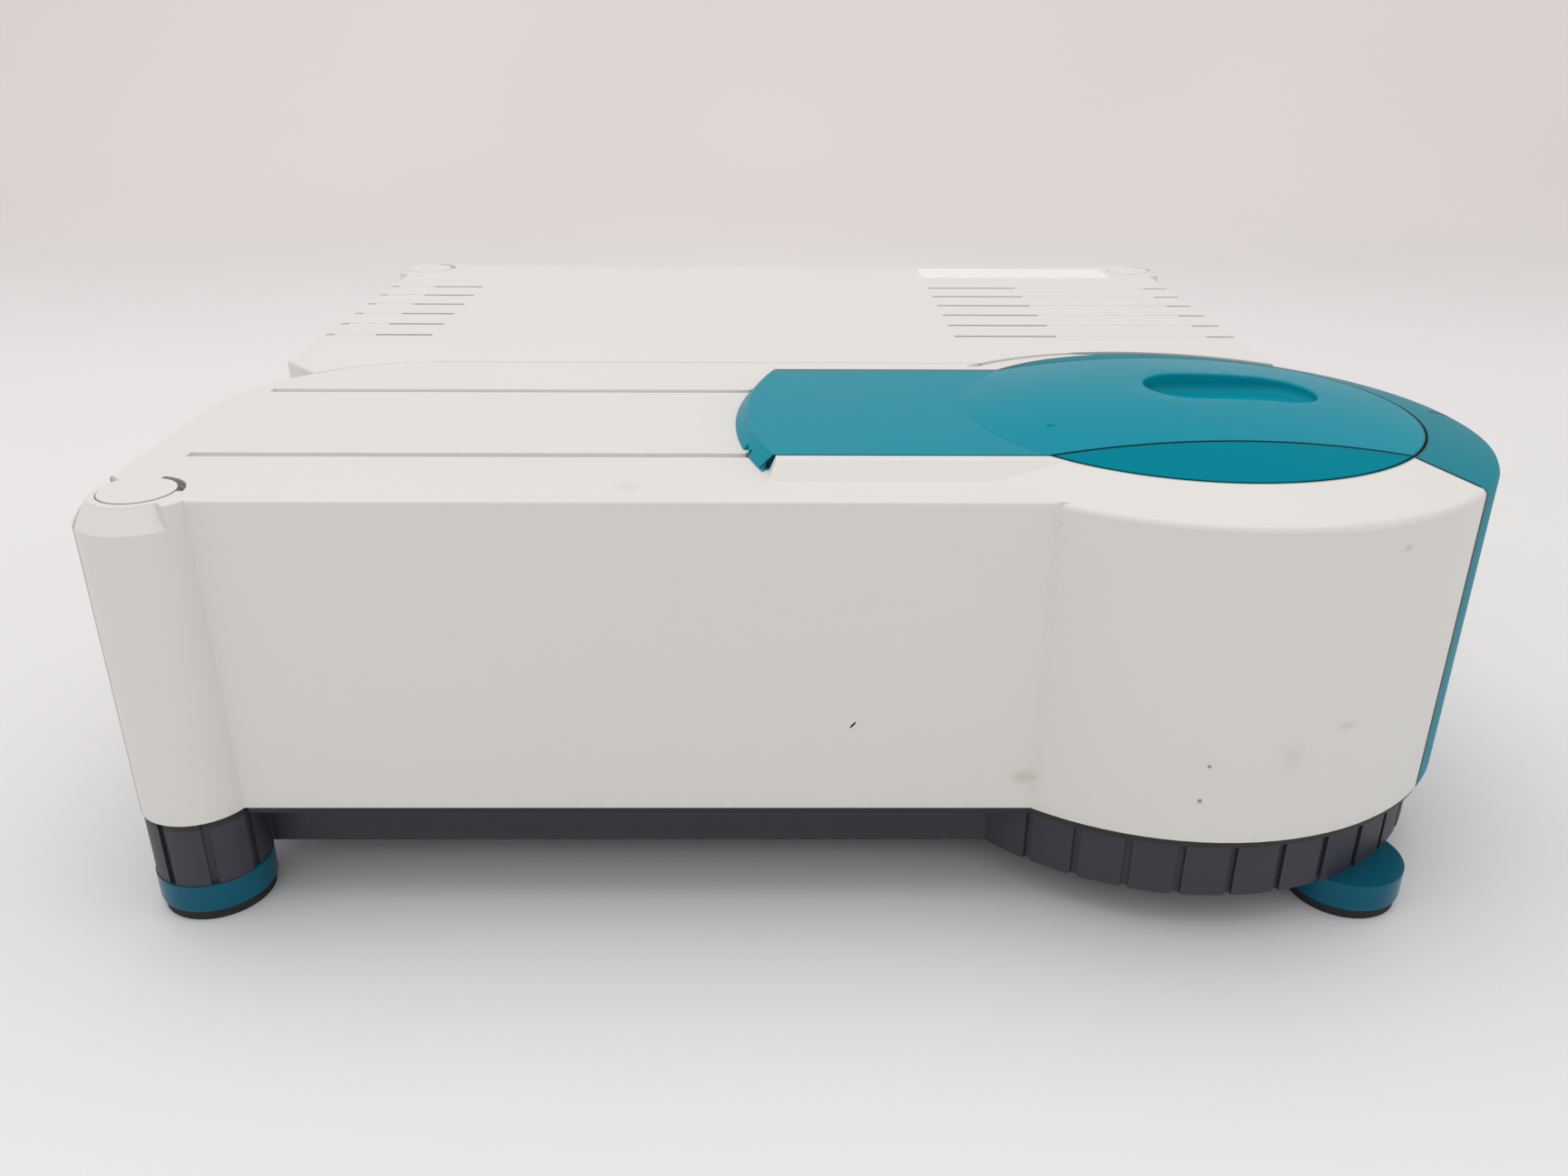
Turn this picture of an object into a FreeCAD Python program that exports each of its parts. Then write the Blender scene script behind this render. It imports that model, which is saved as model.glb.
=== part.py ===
"""Bench spectrophotometer with a sliding lid over a round sample compartment.

Millimetres, +Z up. The row frame's origin is the middle of the footprint on the bench top.
+X points along the length to the sample compartment's end, and -Y is the long side with the
bowed compartment front.
"""
import FreeCAD, Part
import math
import os
import re

import Sketcher
from FreeCAD import Placement, Rotation, Vector

# Driving sizes in millimetres and degrees
SIZES = {
    # Corner posts, and the heights that the whole housing shares
    "post_span_x": 480,
    "post_span_y": 445,
    "post_radius": 23.5,
    "cover_bottom": 47,
    "cover_top": 180,
    "wall": 3,
    "clearance": 0.3,
    # Walls of the two covers, measured out from the post axes
    "end_outset": 10.2,
    "front_left_outset": 18,
    "rear_side_outset": 10.7,
    "corner_round": 88,
    "seam_ahead": 31,
    "seam_gap": 0.6,
    "hook_angle": 132,
    "edge_round": 1.2,
    # Round sample compartment housing
    "compartment_x": 175,
    "compartment_y": -132.5,
    "bulge_radius": 124.5,
    "bulge_edge_round": 3,
    "bay_gap": 1,
    "lid_circle": 96,
    "ring_rise": 6,
    "dome_rise": 11,
    "teal_start": -43,
    "teal_end": 137.5,
    "teal_wall_end": 54,
    "mark_angle": 5,
    "mark_first": 112.5,
    "mark_width": 0.8,
    "mark_depth": 0.7,
    "joint_angle": 0.35,
    # Raised strips beside the lid's tongue, and its two grooves
    "lid_half_width": 64.5,
    "strip_width": 12.7,
    "strip_end_slope": 5,
    "nose_radius": 198.3,
    "nose_bevel": 5.5,
    "ear_length": 18.3,
    "ear_reach": 10.5,
    "groove_offset": 47.2,
    "groove_width": 5,
    "groove_depth": 2.4,
    "groove_left": 414,
    "groove_right": 111,
    # Corner caps and their pry slots
    "cap_radius": 14,
    "cap_depth": 3,
    "post_chamfer": 6.5,
    "post_chamfer_drop": 9,
    "post_head": 20,
    "pry_width": 2.6,
    "pry_sweep": 80,
    # Vents of the rear cover
    "vent_width": 3.2,
    "vent_pitch": 26.6,
    "vent_count": 6,
    "vent_first": 27,
    "vent_mark_depth": 0.8,
    "vent_dash": 8,
    "vent_side_drop": 34,
    "vent_left_slot": 40,
    "vent_left_mark": 23,
    "vent_right_slot": 56,
    "vent_right_mark": 83.5,
    # Finger recess in the lid
    "recess_length": 74,
    "recess_width": 40,
    "recess_shift": 18.3,
    "recess_depth": 9,
    "recess_floor_round": 4,
    "recess_edge_round": 1,
    # Base moulding
    "base_bottom": 17,
    "base_recess": 12.7,
    "base_front_recess": 20.4,
    "deck_inset": 1,
    "deck_thickness": 3,
    "floor_thickness": 4,
    "bay_front": -200,
    "bay_rear": 200,
    "bay_right": 226,
    "bay_divider": -30,
    "bay_rib": 28,
    "optics_bay_right": 56,
    "skirt_radius": 118.4,
    "skirt_hollow_radius": 94,
    "skirt_hollow_depth": 24,
    "rib_groove": 3.2,
    "rib_depth": 1.6,
    "skirt_rib_first": -127.5,
    "skirt_rib_step": 10,
    "skirt_rib_count": 18,
    "foot_post_radius": 22.8,
    "post_rib_count": 8,
    # Feet
    "foot_ring_radius": 23.2,
    "foot_ring_bottom": 4,
    "foot_pad_radius": 22,
    "foot_pad_hole": 7,
    "foot_edge_round": 1.5,
    "foot_screw_radius": 2.5,
    "foot_screw_length": 18,
    # Sample compartment
    "tub_radius": 92,
    "tub_wall": 4,
    "tub_lip_width": 3.7,
    "tub_lip_reach": 96,
    "tub_lip_thickness": 3,
    "beam_height": 85,
    "beam_hole": 8,
    "window_boss": 13,
    "window_radius": 10,
    "window_thickness": 2,
    "window_seat": 3,
    "seal_width": 4,
    "seal_thickness": 1.6,
    "holder_width": 32,
    "holder_height": 46,
    "holder_base_thickness": 6,
    "cell_size": 12.8,
    "cell_floor": 72,
    "cell_beam_hole": 4,
    "holder_base_length": 76,
    "holder_base_width": 50,
    "knob_radius": 7,
    "knob_length": 9,
    "runner_setback": 8.3,
    "runner_gap": 1,
    # Optics
    "bench_thickness": 6,
    "bench_left": 214,
    "bench_front": -206,
    "bench_rear": -52,
    "bench_right": 72,
    "mono_left": -212,
    "mono_right": -22,
    "mono_front": -200,
    "mono_rear": -54,
    "mono_height": 84,
    "mono_wall": 4,
    "entrance_y": -84,
    "grating_x": -66,
    "grating_y": -172,
    "mirror_x": -195,
    "mirror_radius": 20,
    "mirror_thickness": 8,
    "slit_plate": 26,
    "slit_plate_thickness": 1.2,
    "slit_width": 1,
    "slit_length": 10,
    "grating_table_radius": 20,
    "grating_size": 30,
    "grating_thickness": 8,
    "grating_motor": 36,
    "grating_motor_height": 20,
    "shaft_radius": 3,
    "running_fit": 0.05,
    "filter_x": -12,
    "filter_radius": 22,
    "filter_pitch_radius": 14,
    "filter_hole": 4.5,
    "filter_wheel_thickness": 2,
    "filter_glass": 1,
    "filter_count": 6,
    "filter_motor_radius": 8,
    "lamp_left": 8,
    "lamp_length": 50,
    "lamp_width": 44,
    "lamp_height": 64,
    "lamp_wall": 3,
    "bulb_radius": 9,
    "lens_radius": 12,
    "splitter_x": 34,
    "splitter_radius": 11,
    "detector_radius": 9,
    "detector_length": 14,
    "detector_gap": 2.5,
    # Electronics
    "supply_x": -135,
    "supply_y": 120,
    "supply_length": 150,
    "supply_width": 96,
    "supply_height": 62,
    "board_x": 95,
    "board_y": 95,
    "board_length": 190,
    "board_width": 130,
    "board_thickness": 1.6,
    "pillar_height": 10,
    "pillar_radius": 3,
    "fan_y": 90,
    "fan_height": 138,
    "fan_size": 60,
    "fan_depth": 18,
    "fan_hub_radius": 12,
    "fan_blade_reach": 26,
    "fan_blade_count": 7,
    "fan_shaft_radius": 1.5,
    "fan_blade_chord": 10,
    "fan_blade_thickness": 1.2,
    "fan_arm_width": 3,
    "fan_arm_thickness": 2,
    "fan_seat_length": 5,
    "panel_x": -120,
    "panel_low": 58,
    "panel_length": 150,
    "panel_height": 62,
    "panel_thickness": 2,
    "panel_flange": 4,
    "bezel_lip": 1.5,
    "bezel_border": 2,
    "inlet_x": -160,
    "inlet_height": 92,
    "inlet_width": 28,
    "inlet_tall": 40,
    "inlet_depth": 26,
    "socket_width": 24,
    "socket_tall": 17,
    "socket_depth": 17,
    "socket_rise": 6,
    "pin_length": 12,
    "pin_width": 2,
    "pin_tall": 4,
    "pin_stagger": 2,
    "pin_spacing": 7,
    "drawer_width": 22,
    "drawer_tall": 8,
    "drawer_depth": 18,
    "drawer_drop": 12,
    "switch_x": -115,
    "switch_width": 14,
    "switch_tall": 24,
    "switch_depth": 12,
    "switch_bezel": 2.5,
    "rocker_lean": 8,
    "rocker_rise": 1.9,
    "rocker_dip": 0.3,
    "port_x": -75,
    "port_width": 25,
    "port_tall": 9,
    "port_depth": 13,
    "port_ear": 7,
}

doc = FreeCAD.newDocument("Spectrophotometer")
sizes = doc.addObject("Spreadsheet::Sheet", "Sizes")
for row, (alias, value) in enumerate(SIZES.items(), start=1):
    sizes.set("A%d" % row, alias)
    sizes.set("B%d" % row, str(value))
    sizes.setAlias("B%d" % row, alias)
doc.recompute()

# The origin lies midway between the outermost faces
SHIFT_X = "-(compartment_x + bulge_radius - post_span_x/2 - post_radius)/2"
SHIFT_Y = "-(post_span_y/2 + post_radius + compartment_y - bulge_radius)/2"

nodes = []


# Formulas


def formula(text):
    """Point each name in a formula at its cell."""
    def cell(found):
        word = found.group()
        return "Sizes." + word if word in SIZES else word
    return re.sub(r"[a-z]\w*", cell, str(text))


def number(text):
    """Work a formula out to a plain number."""
    return float(sizes.evalExpression(formula(text)))


def bind(thing, path, text):
    thing.setExpression(path, formula(text))


def place(thing, x=0, y=0, z=0):
    """Tie a placement's position to formulas in the row frame."""
    bind(thing, "Placement.Base.x", "%s + %s" % (x, SHIFT_X))
    bind(thing, "Placement.Base.y", "%s + %s" % (y, SHIFT_Y))
    bind(thing, "Placement.Base.z", z)


def keep(thing, label=None):
    """List a finished sub-part under its own label."""
    if label:
        thing.Label = label
    nodes.append(thing)
    return thing


# Bodies and sketches


def new_body(label, x=0, y=0, z=0):
    body = doc.addObject("PartDesign::Body", label)
    place(body, x, y, z)
    return keep(body)


def new_sketch(body, name, role="XY_Plane", lift=0, x=0, y=0, turn=0, turn_axis=(0, 0, 1)):
    """A sketch on one of the body's own planes, moved by formulas and turned by degrees."""
    sketch = body.newObject("Sketcher::SketchObject", name)
    plane = next(item for item in body.Origin.OriginFeatures if item.Role == role)
    sketch.AttachmentSupport = [(plane, "")]
    sketch.MapMode = "FlatFace"
    offset = Rotation(Vector(*turn_axis), number(turn))
    sketch.AttachmentOffset = Placement(Vector(), offset)
    bind(sketch, "AttachmentOffset.Base.x", x)
    bind(sketch, "AttachmentOffset.Base.y", y)
    bind(sketch, "AttachmentOffset.Base.z", lift)
    return sketch


def dimension(sketch, kind, parts, text):
    index = sketch.addConstraint(Sketcher.Constraint(kind, *parts, number(text)))
    bind(sketch, "Constraints[%d]" % index, text)


def circle(sketch, radius, x=0, y=0):
    index = sketch.addGeometry(Part.Circle(Vector(number(x), number(y), 0), Vector(0, 0, 1), number(radius)))
    dimension(sketch, "Radius", (index,), radius)
    dimension(sketch, "DistanceX", (-1, 1, index, 3), x)
    dimension(sketch, "DistanceY", (-1, 1, index, 3), y)


def rectangle(sketch, left, right, low, high):
    corners = [(left, low), (right, low), (right, high), (left, high)]
    points = [Vector(number(x), number(y), 0) for x, y in corners]
    sides = [sketch.addGeometry(Part.LineSegment(points[i], points[(i + 1) % 4])) for i in range(4)]
    for i in range(4):
        sketch.addConstraint(Sketcher.Constraint("Coincident", sides[i], 2, sides[(i + 1) % 4], 1))
    sketch.addConstraint(Sketcher.Constraint("Horizontal", sides[0]))
    sketch.addConstraint(Sketcher.Constraint("Vertical", sides[1]))
    sketch.addConstraint(Sketcher.Constraint("Horizontal", sides[2]))
    sketch.addConstraint(Sketcher.Constraint("Vertical", sides[3]))
    dimension(sketch, "DistanceX", (-1, 1, sides[0], 1), left)
    dimension(sketch, "DistanceX", (-1, 1, sides[0], 2), right)
    dimension(sketch, "DistanceY", (-1, 1, sides[0], 1), low)
    dimension(sketch, "DistanceY", (-1, 1, sides[2], 1), high)


def line(sketch, start, end):
    sketch.addGeometry(Part.LineSegment(Vector(*start, 0), Vector(*end, 0)))


def arc(sketch, centre, radius, first, last):
    """An arc from one angle to a larger one, in degrees, anticlockwise."""
    round_path = Part.Circle(Vector(*centre, 0), Vector(0, 0, 1), radius)
    sketch.addGeometry(Part.ArcOfCircle(round_path, math.radians(first), math.radians(last)))


def polygon(sketch, points):
    for i, start in enumerate(points):
        line(sketch, start, points[(i + 1) % len(points)])


def stadium(sketch, length, width, x):
    """A slot with round ends along the sketch's own X."""
    half = number(width) / 2
    reach = number(length) / 2 - half
    middle = number(x)
    arc(sketch, (middle + reach, 0), half, -90, 90)
    arc(sketch, (middle - reach, 0), half, 90, 270)
    line(sketch, (middle - reach, -half), (middle + reach, -half))
    line(sketch, (middle - reach, half), (middle + reach, half))


def point_on(centre, radius, angle):
    turn = math.radians(angle)
    return (centre[0] + radius * math.cos(turn), centre[1] + radius * math.sin(turn))


# Features


def settle(body, feature, grows):
    """Recompute, and see that the feature really added or removed material."""
    before = body.Shape.Volume if body.Shape and not body.Shape.isNull() else 0
    body.Tip = feature
    doc.recompute()
    change = body.Shape.Volume - before
    if (change <= 0) == grows or abs(change) < 1e-6:
        raise RuntimeError("%s changed %s by %.3f" % (feature.Name, body.Label, change))
    return feature


def pad(body, sketch, length, reverse=False):
    feature = body.newObject("PartDesign::Pad", sketch.Name + "_pad")
    feature.Profile = sketch
    feature.Reversed = reverse
    bind(feature, "Length", length)
    return settle(body, feature, True)


def pocket(body, sketch, length, reverse=False):
    feature = body.newObject("PartDesign::Pocket", sketch.Name + "_pocket")
    feature.Profile = sketch
    feature.Reversed = reverse
    bind(feature, "Length", length)
    return settle(body, feature, False)


def revolve(body, sketch, angle=360, cuts=False):
    """Turn a profile about its own vertical axis, evenly to both sides of its plane."""
    kind = "PartDesign::Groove" if cuts else "PartDesign::Revolution"
    feature = body.newObject(kind, sketch.Name + "_turn")
    feature.Profile = sketch
    feature.ReferenceAxis = (sketch, ["V_Axis"])
    feature.Midplane = True
    bind(feature, "Angle", angle)
    return settle(body, feature, not cuts)


def polar(body, original, sketch, span, count, grows=False):
    """Repeat a feature about the axis that stands on a sketch's origin."""
    feature = body.newObject("PartDesign::PolarPattern", original.Name + "_polar")
    feature.Originals = [original]
    feature.Axis = (sketch, ["N_Axis"])
    bind(feature, "Angle", span)
    bind(feature, "Occurrences", count)
    return settle(body, feature, grows)


def edges(shape, wanted):
    return ["Edge%d" % (i + 1) for i, edge in enumerate(shape.Edges) if wanted(edge)]


def fillet(body, radius, wanted, label):
    base = body.Tip
    feature = body.newObject("PartDesign::Fillet", label)
    feature.Base = (base, edges(base.Shape, wanted))
    bind(feature, "Radius", radius)
    body.Tip = feature
    doc.recompute()
    return feature


def level_edge(height, centre=None, radius=None):
    """A test for edges that lie at one height, and on one round if a radius is given."""
    def wanted(edge):
        box = edge.BoundBox
        if abs(box.ZMin - height) > 1e-4 or abs(box.ZMax - height) > 1e-4:
            return False
        if radius is None:
            return True
        if not isinstance(edge.Curve, Part.Circle):
            return False
        middle = edge.Curve.Center
        apart = math.hypot(middle.x - centre[0], middle.y - centre[1])
        return apart < 1e-3 and abs(edge.Curve.Radius - radius) < 1e-3
    return wanted


def outer_edge(height):
    """A test for the level edges along a cover's sides, seam and wide corner, without the front."""
    level = level_edge(height)
    narrow = (sizes.post_radius, sizes.lid_circle + sizes.clearance, sizes.bulge_radius,
              sizes.bulge_radius + sizes.bay_gap)

    def wanted(edge):
        if not level(edge):
            return False
        if isinstance(edge.Curve, Part.Circle):
            return all(abs(edge.Curve.Radius - radius) > 1e-3 for radius in narrow)
        far = max(math.hypot(point.X - COMPARTMENT[0], point.Y - COMPARTMENT[1]) for point in edge.Vertexes)
        front = -POST_Y - sizes.end_outset
        along_front = all(abs(point.Y - front) < 1e-3 for point in edge.Vertexes)
        return far > sizes.bulge_radius + 2 * sizes.bay_gap and not along_front
    return wanted


# Solids


def at(thing, x, y, z, final):
    """Tie a solid to its place: a finished one in the row frame, a tool in its parent's."""
    if final:
        place(thing, x, y, z)
    else:
        bind(thing, "Placement.Base.x", x)
        bind(thing, "Placement.Base.y", y)
        bind(thing, "Placement.Base.z", z)


def box(label, x, y, z, length, width, height, final=False):
    """A box, its first two numbers the middle of its footprint."""
    thing = doc.addObject("Part::Box", label)
    bind(thing, "Length", length)
    bind(thing, "Width", width)
    bind(thing, "Height", height)
    at(thing, "%s - (%s)/2" % (x, length), "%s - (%s)/2" % (y, width), z, final)
    return keep(thing) if final else thing


def cylinder(label, x, y, z, radius, height, axis=(0, 0, 1), final=False):
    """A cylinder that starts at the point and runs along the axis."""
    thing = doc.addObject("Part::Cylinder", label)
    thing.Placement = Placement(Vector(), Rotation(Vector(0, 0, 1), Vector(*axis)))
    bind(thing, "Radius", radius)
    bind(thing, "Height", height)
    at(thing, x, y, z, final)
    return keep(thing) if final else thing


def joined(label, parts, final=False):
    thing = doc.addObject("Part::MultiFuse", label)
    thing.Shapes = parts
    if final:
        place(thing)
        keep(thing)
    return thing


def cut(label, base, tools, final=False):
    thing = doc.addObject("Part::Cut", label)
    thing.Base = base
    thing.Tool = tools[0] if len(tools) == 1 else joined(label + "_tools", tools)
    if final:
        place(thing)
        keep(thing)
    return thing


def group(label, parts):
    """Several separate solids of one kind in one sub-part."""
    thing = doc.addObject("Part::Compound", label)
    thing.Links = parts
    place(thing)
    return keep(thing)


# Shared points

POST_X = number("post_span_x/2")
POST_Y = number("post_span_y/2")
COMPARTMENT = (number("compartment_x"), number("compartment_y"))
POSTS = {
    "front_left": (-1, -1),
    "rear_left": (-1, 1),
    "rear_right": (1, 1),
}
FEET = dict(POSTS, front_right=(1, -1))


def chord(radius, offset):
    """Half the chord of a circle at a distance from its centre."""
    return math.sqrt(radius ** 2 - offset ** 2)


def front_outline(sketch, inset, bay):
    """The front cover's footprint, with the round compartment left out where bay is true."""
    post = sizes.post_radius - inset
    left = -POST_X - sizes.front_left_outset + inset
    front = -POST_Y - sizes.end_outset + inset
    seam = -sizes.seam_ahead - inset
    rounding = sizes.corner_round - inset
    turn = (-POST_X - sizes.front_left_outset + sizes.corner_round, -sizes.seam_ahead - sizes.corner_round)
    bulge = sizes.bulge_radius - inset
    corner = (-POST_X, -POST_Y)
    post_left = (left, corner[1] + chord(post, left - corner[0]))
    post_front = (corner[0] + chord(post, front - corner[1]), front)
    bulge_front = (COMPARTMENT[0] - chord(bulge, front - COMPARTMENT[1]), front)
    line(sketch, post_left, (left, turn[1]))
    arc(sketch, turn, rounding, 90, 180)
    line(sketch, post_front, bulge_front)
    first = math.degrees(math.atan2(post_left[1] - corner[1], post_left[0] - corner[0]))
    last = math.degrees(math.atan2(post_front[1] - corner[1], post_front[0] - corner[0])) + 360
    arc(sketch, corner, post, first, last)
    bulge_angle = math.degrees(math.atan2(front - COMPARTMENT[1], bulge_front[0] - COMPARTMENT[0])) + 360
    back = bulge + (sizes.bay_gap if bay else 0)
    seam_end = (COMPARTMENT[0] - chord(back, seam - COMPARTMENT[1]), seam)
    line(sketch, (turn[0], seam), seam_end)
    seam_angle = math.degrees(math.atan2(seam - COMPARTMENT[1], seam_end[0] - COMPARTMENT[0]))
    if not bay:
        arc(sketch, COMPARTMENT, bulge, bulge_angle - 360, seam_angle)
        return
    well = sizes.lid_circle + sizes.clearance
    start = sizes.teal_end
    end = sizes.teal_start + 360
    arc(sketch, COMPARTMENT, back, seam_angle, start)
    line(sketch, point_on(COMPARTMENT, back, start), point_on(COMPARTMENT, well, start))
    arc(sketch, COMPARTMENT, well, start, end)
    line(sketch, point_on(COMPARTMENT, well, end), point_on(COMPARTMENT, bulge, end))
    arc(sketch, COMPARTMENT, bulge, bulge_angle, end)


def rear_outline(sketch):
    """The rear cover's footprint, hooked round the front cover's rounded corner."""
    post = sizes.post_radius
    side = POST_X + sizes.rear_side_outset
    back = POST_Y + sizes.end_outset
    seam = -sizes.seam_ahead + sizes.seam_gap
    turn = (-POST_X - sizes.front_left_outset + sizes.corner_round, -sizes.seam_ahead - sizes.corner_round)
    rounding = sizes.corner_round + sizes.seam_gap
    bay = sizes.bulge_radius + sizes.bay_gap
    hook = point_on(turn, rounding, sizes.hook_angle)
    seam_end = (COMPARTMENT[0] - chord(bay, seam - COMPARTMENT[1]), seam)
    side_end = (side, COMPARTMENT[1] + chord(bay, side - COMPARTMENT[0]))
    line(sketch, (-side, seam), hook)
    arc(sketch, turn, rounding, 90, sizes.hook_angle)
    line(sketch, (turn[0], seam), seam_end)
    first = math.degrees(math.atan2(side_end[1] - COMPARTMENT[1], side_end[0] - COMPARTMENT[0]))
    last = math.degrees(math.atan2(seam_end[1] - COMPARTMENT[1], seam_end[0] - COMPARTMENT[0]))
    arc(sketch, COMPARTMENT, bay, first, last)
    low = POST_Y - chord(post, side - POST_X)
    near = POST_X - chord(post, back - POST_Y)
    line(sketch, side_end, (side, low))
    line(sketch, (near, back), (-near, back))
    line(sketch, (-side, low), (-side, seam))
    low_angle = math.degrees(math.atan2(low - POST_Y, side - POST_X))
    back_angle = math.degrees(math.atan2(back - POST_Y, near - POST_X))
    arc(sketch, (POST_X, POST_Y), post, low_angle, back_angle)
    arc(sketch, (-POST_X, POST_Y), post, 180 - back_angle, 180 - low_angle)


def hollow(body, height):
    """Leave only the walls and the top of a cover, open underneath."""
    base = body.Tip
    flat = [
        "Face%d" % (i + 1)
        for i, face in enumerate(base.Shape.Faces)
        if abs(face.BoundBox.ZMax - height) < 1e-4
    ]
    feature = body.newObject("PartDesign::Thickness", body.Name + "_shell")
    feature.Base = (base, flat)
    feature.Reversed = True
    feature.Mode = "Skin"
    feature.Join = "Intersection"
    bind(feature, "Value", "wall")
    return settle(body, feature, False)


def post_top(body, name, side_x, side_y):
    """A corner post's solid head, with its cone, its cap's seat and the pry slot beside it."""
    x = "%d*post_span_x/2" % side_x
    y = "%d*post_span_y/2" % side_y
    head = new_sketch(body, name + "_head", lift="cover_top - wall", x=x, y=y)
    circle(head, "post_radius - wall")
    pad(body, head, "post_head - wall", reverse=True)
    outward = math.degrees(math.atan2(side_y, side_x))
    cone = new_sketch(body, name + "_cone", "XZ_Plane", x=x, lift="-(%s)" % y, turn=outward,
                      turn_axis=(0, 1, 0))
    rim = sizes.post_radius
    top = sizes.cover_top
    slope = sizes.post_chamfer / sizes.post_chamfer_drop
    polygon(cone, [
        (rim - sizes.post_chamfer - slope, top + 1),
        (rim + 1, top + 1),
        (rim + 1, top - sizes.post_chamfer_drop - 1 / slope),
    ])
    revolve(body, cone, 180, cuts=True)
    seat = new_sketch(body, name + "_seat", lift="cover_top", x=x, y=y)
    circle(seat, "cap_radius + clearance")
    pocket(body, seat, "cap_depth")
    slot = new_sketch(body, name + "_pry", lift="cover_top", x=x, y=y)
    inner = sizes.cap_radius
    outer = inner + sizes.clearance + sizes.pry_width
    arc(slot, (0, 0), inner, 0, sizes.pry_sweep)
    arc(slot, (0, 0), outer, 0, sizes.pry_sweep)
    line(slot, (inner, 0), (outer, 0))
    line(slot, point_on((0, 0), inner, sizes.pry_sweep), point_on((0, 0), outer, sizes.pry_sweep))
    pocket(body, slot, "cap_depth")


# White covers


def front_cover():
    body = new_body("front_cover")
    base = new_sketch(body, "front_plan", lift="cover_bottom")
    front_outline(base, 0, True)
    pad(body, base, "cover_top - cover_bottom")
    hollow(body, sizes.cover_bottom)
    fillet(body, "bulge_edge_round", level_edge(sizes.cover_top, COMPARTMENT, sizes.bulge_radius), "bulge_edge")
    fillet(body, "edge_round", outer_edge(sizes.cover_top), "front_cover_edge")
    front_edge(body)
    compartment_ring(body)
    for side in (-1, 1):
        tongue_strip(body, side)
        slide_groove(body, side)
    post_top(body, "front_left_post", *POSTS["front_left"])
    port = new_sketch(body, "beam_port", "YZ_Plane", x="compartment_y", y="beam_height",
                      lift="compartment_x - lid_circle - 2*wall")
    circle(port, "window_boss + wall")
    pocket(body, port, "4*wall", reverse=True)
    return body


def front_edge(body):
    """Round the straight top edge between the corner post and the bowed front."""
    front = -POST_Y - sizes.end_outset
    radius = sizes.edge_round
    top = sizes.cover_top
    first = -POST_X + chord(sizes.post_radius, sizes.end_outset)
    last = COMPARTMENT[0] - chord(sizes.bulge_radius, front - COMPARTMENT[1])
    cove = new_sketch(body, "front_edge", "YZ_Plane", lift="%.6f" % first)
    arc(cove, (front + radius, top - radius), radius, 90, 180)
    line(cove, (front, top - radius), (front - 1, top - radius))
    line(cove, (front - 1, top - radius), (front - 1, top + 1))
    line(cove, (front - 1, top + 1), (front + radius, top + 1))
    line(cove, (front + radius, top + 1), (front + radius, top))
    pocket(body, cove, last - first, reverse=True)


def ring_profile(sketch, inner, base_height):
    """The sloped crown of the round housing, from the lid's edge down to the outer wall."""
    top = sizes.cover_top
    outer = sizes.bulge_radius - sizes.bulge_edge_round
    polygon(sketch, [
        (inner, base_height),
        (outer, base_height),
        (outer, top),
        (inner, top + sizes.ring_rise),
    ])


def compartment_ring(body):
    """The white part of the sloped crown, in front of the lid."""
    first = -sizes.teal_end
    last = sizes.teal_start
    ring = new_sketch(body, "front_ring", "XZ_Plane", x="compartment_x", lift="-compartment_y",
                      turn=(first + last) / 2, turn_axis=(0, 1, 0))
    ring_profile(ring, sizes.lid_circle + sizes.clearance, sizes.cover_top - sizes.wall / 2)
    revolve(body, ring, "teal_start + teal_end")


def tongue_strip(body, side):
    """A wedge that rises to the tongue's edge and runs into the sloped crown."""
    name = "strip_rear" if side > 0 else "strip_front"
    left = "nose_radius - ear_length"
    strip = new_sketch(body, name, "YZ_Plane", x="compartment_y", lift="compartment_x - (%s)" % left)
    near = side * (sizes.lid_half_width + sizes.clearance)
    far = near + side * sizes.strip_width
    top = sizes.cover_top
    polygon(strip, [
        (near, top - sizes.wall / 2),
        (near, top + sizes.ring_rise),
        (far, top),
        (far, top - sizes.wall / 2),
    ])
    reach = (sizes.lid_half_width + sizes.strip_width) / math.tan(math.radians(180 - sizes.teal_end))
    pad(body, strip, "%s - %.6f" % (left, reach))
    end = new_sketch(body, name + "_end", "XZ_Plane", x="compartment_x - (%s)" % left,
                     lift="-(compartment_y + %.6f)" % min(near, far))
    slope = sizes.strip_end_slope / sizes.ring_rise
    polygon(end, [
        (0, top),
        (sizes.strip_end_slope + slope, top + sizes.ring_rise + 1),
        (-1, top + sizes.ring_rise + 1),
        (-1, top),
    ])
    pocket(body, end, "strip_width", reverse=False)


def slide_groove(body, side):
    groove = new_sketch(body, "groove_rear" if side > 0 else "groove_front", lift="cover_top",
                        x="compartment_x", y="compartment_y")
    middle = "%d*groove_offset" % side
    rectangle(groove, "-groove_left", "-groove_right",
              middle + " - groove_width/2", middle + " + groove_width/2")
    pocket(body, groove, "groove_depth")


def rear_cover():
    body = new_body("rear_cover")
    base = new_sketch(body, "rear_plan", lift="cover_bottom")
    rear_outline(base)
    pad(body, base, "cover_top - cover_bottom")
    hollow(body, sizes.cover_bottom)
    fillet(body, "edge_round", outer_edge(sizes.cover_top), "rear_cover_edge")
    vents(body)
    panel_window(body)
    for name in ("rear_left", "rear_right"):
        post_top(body, name + "_post", *POSTS[name])
    return body


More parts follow.
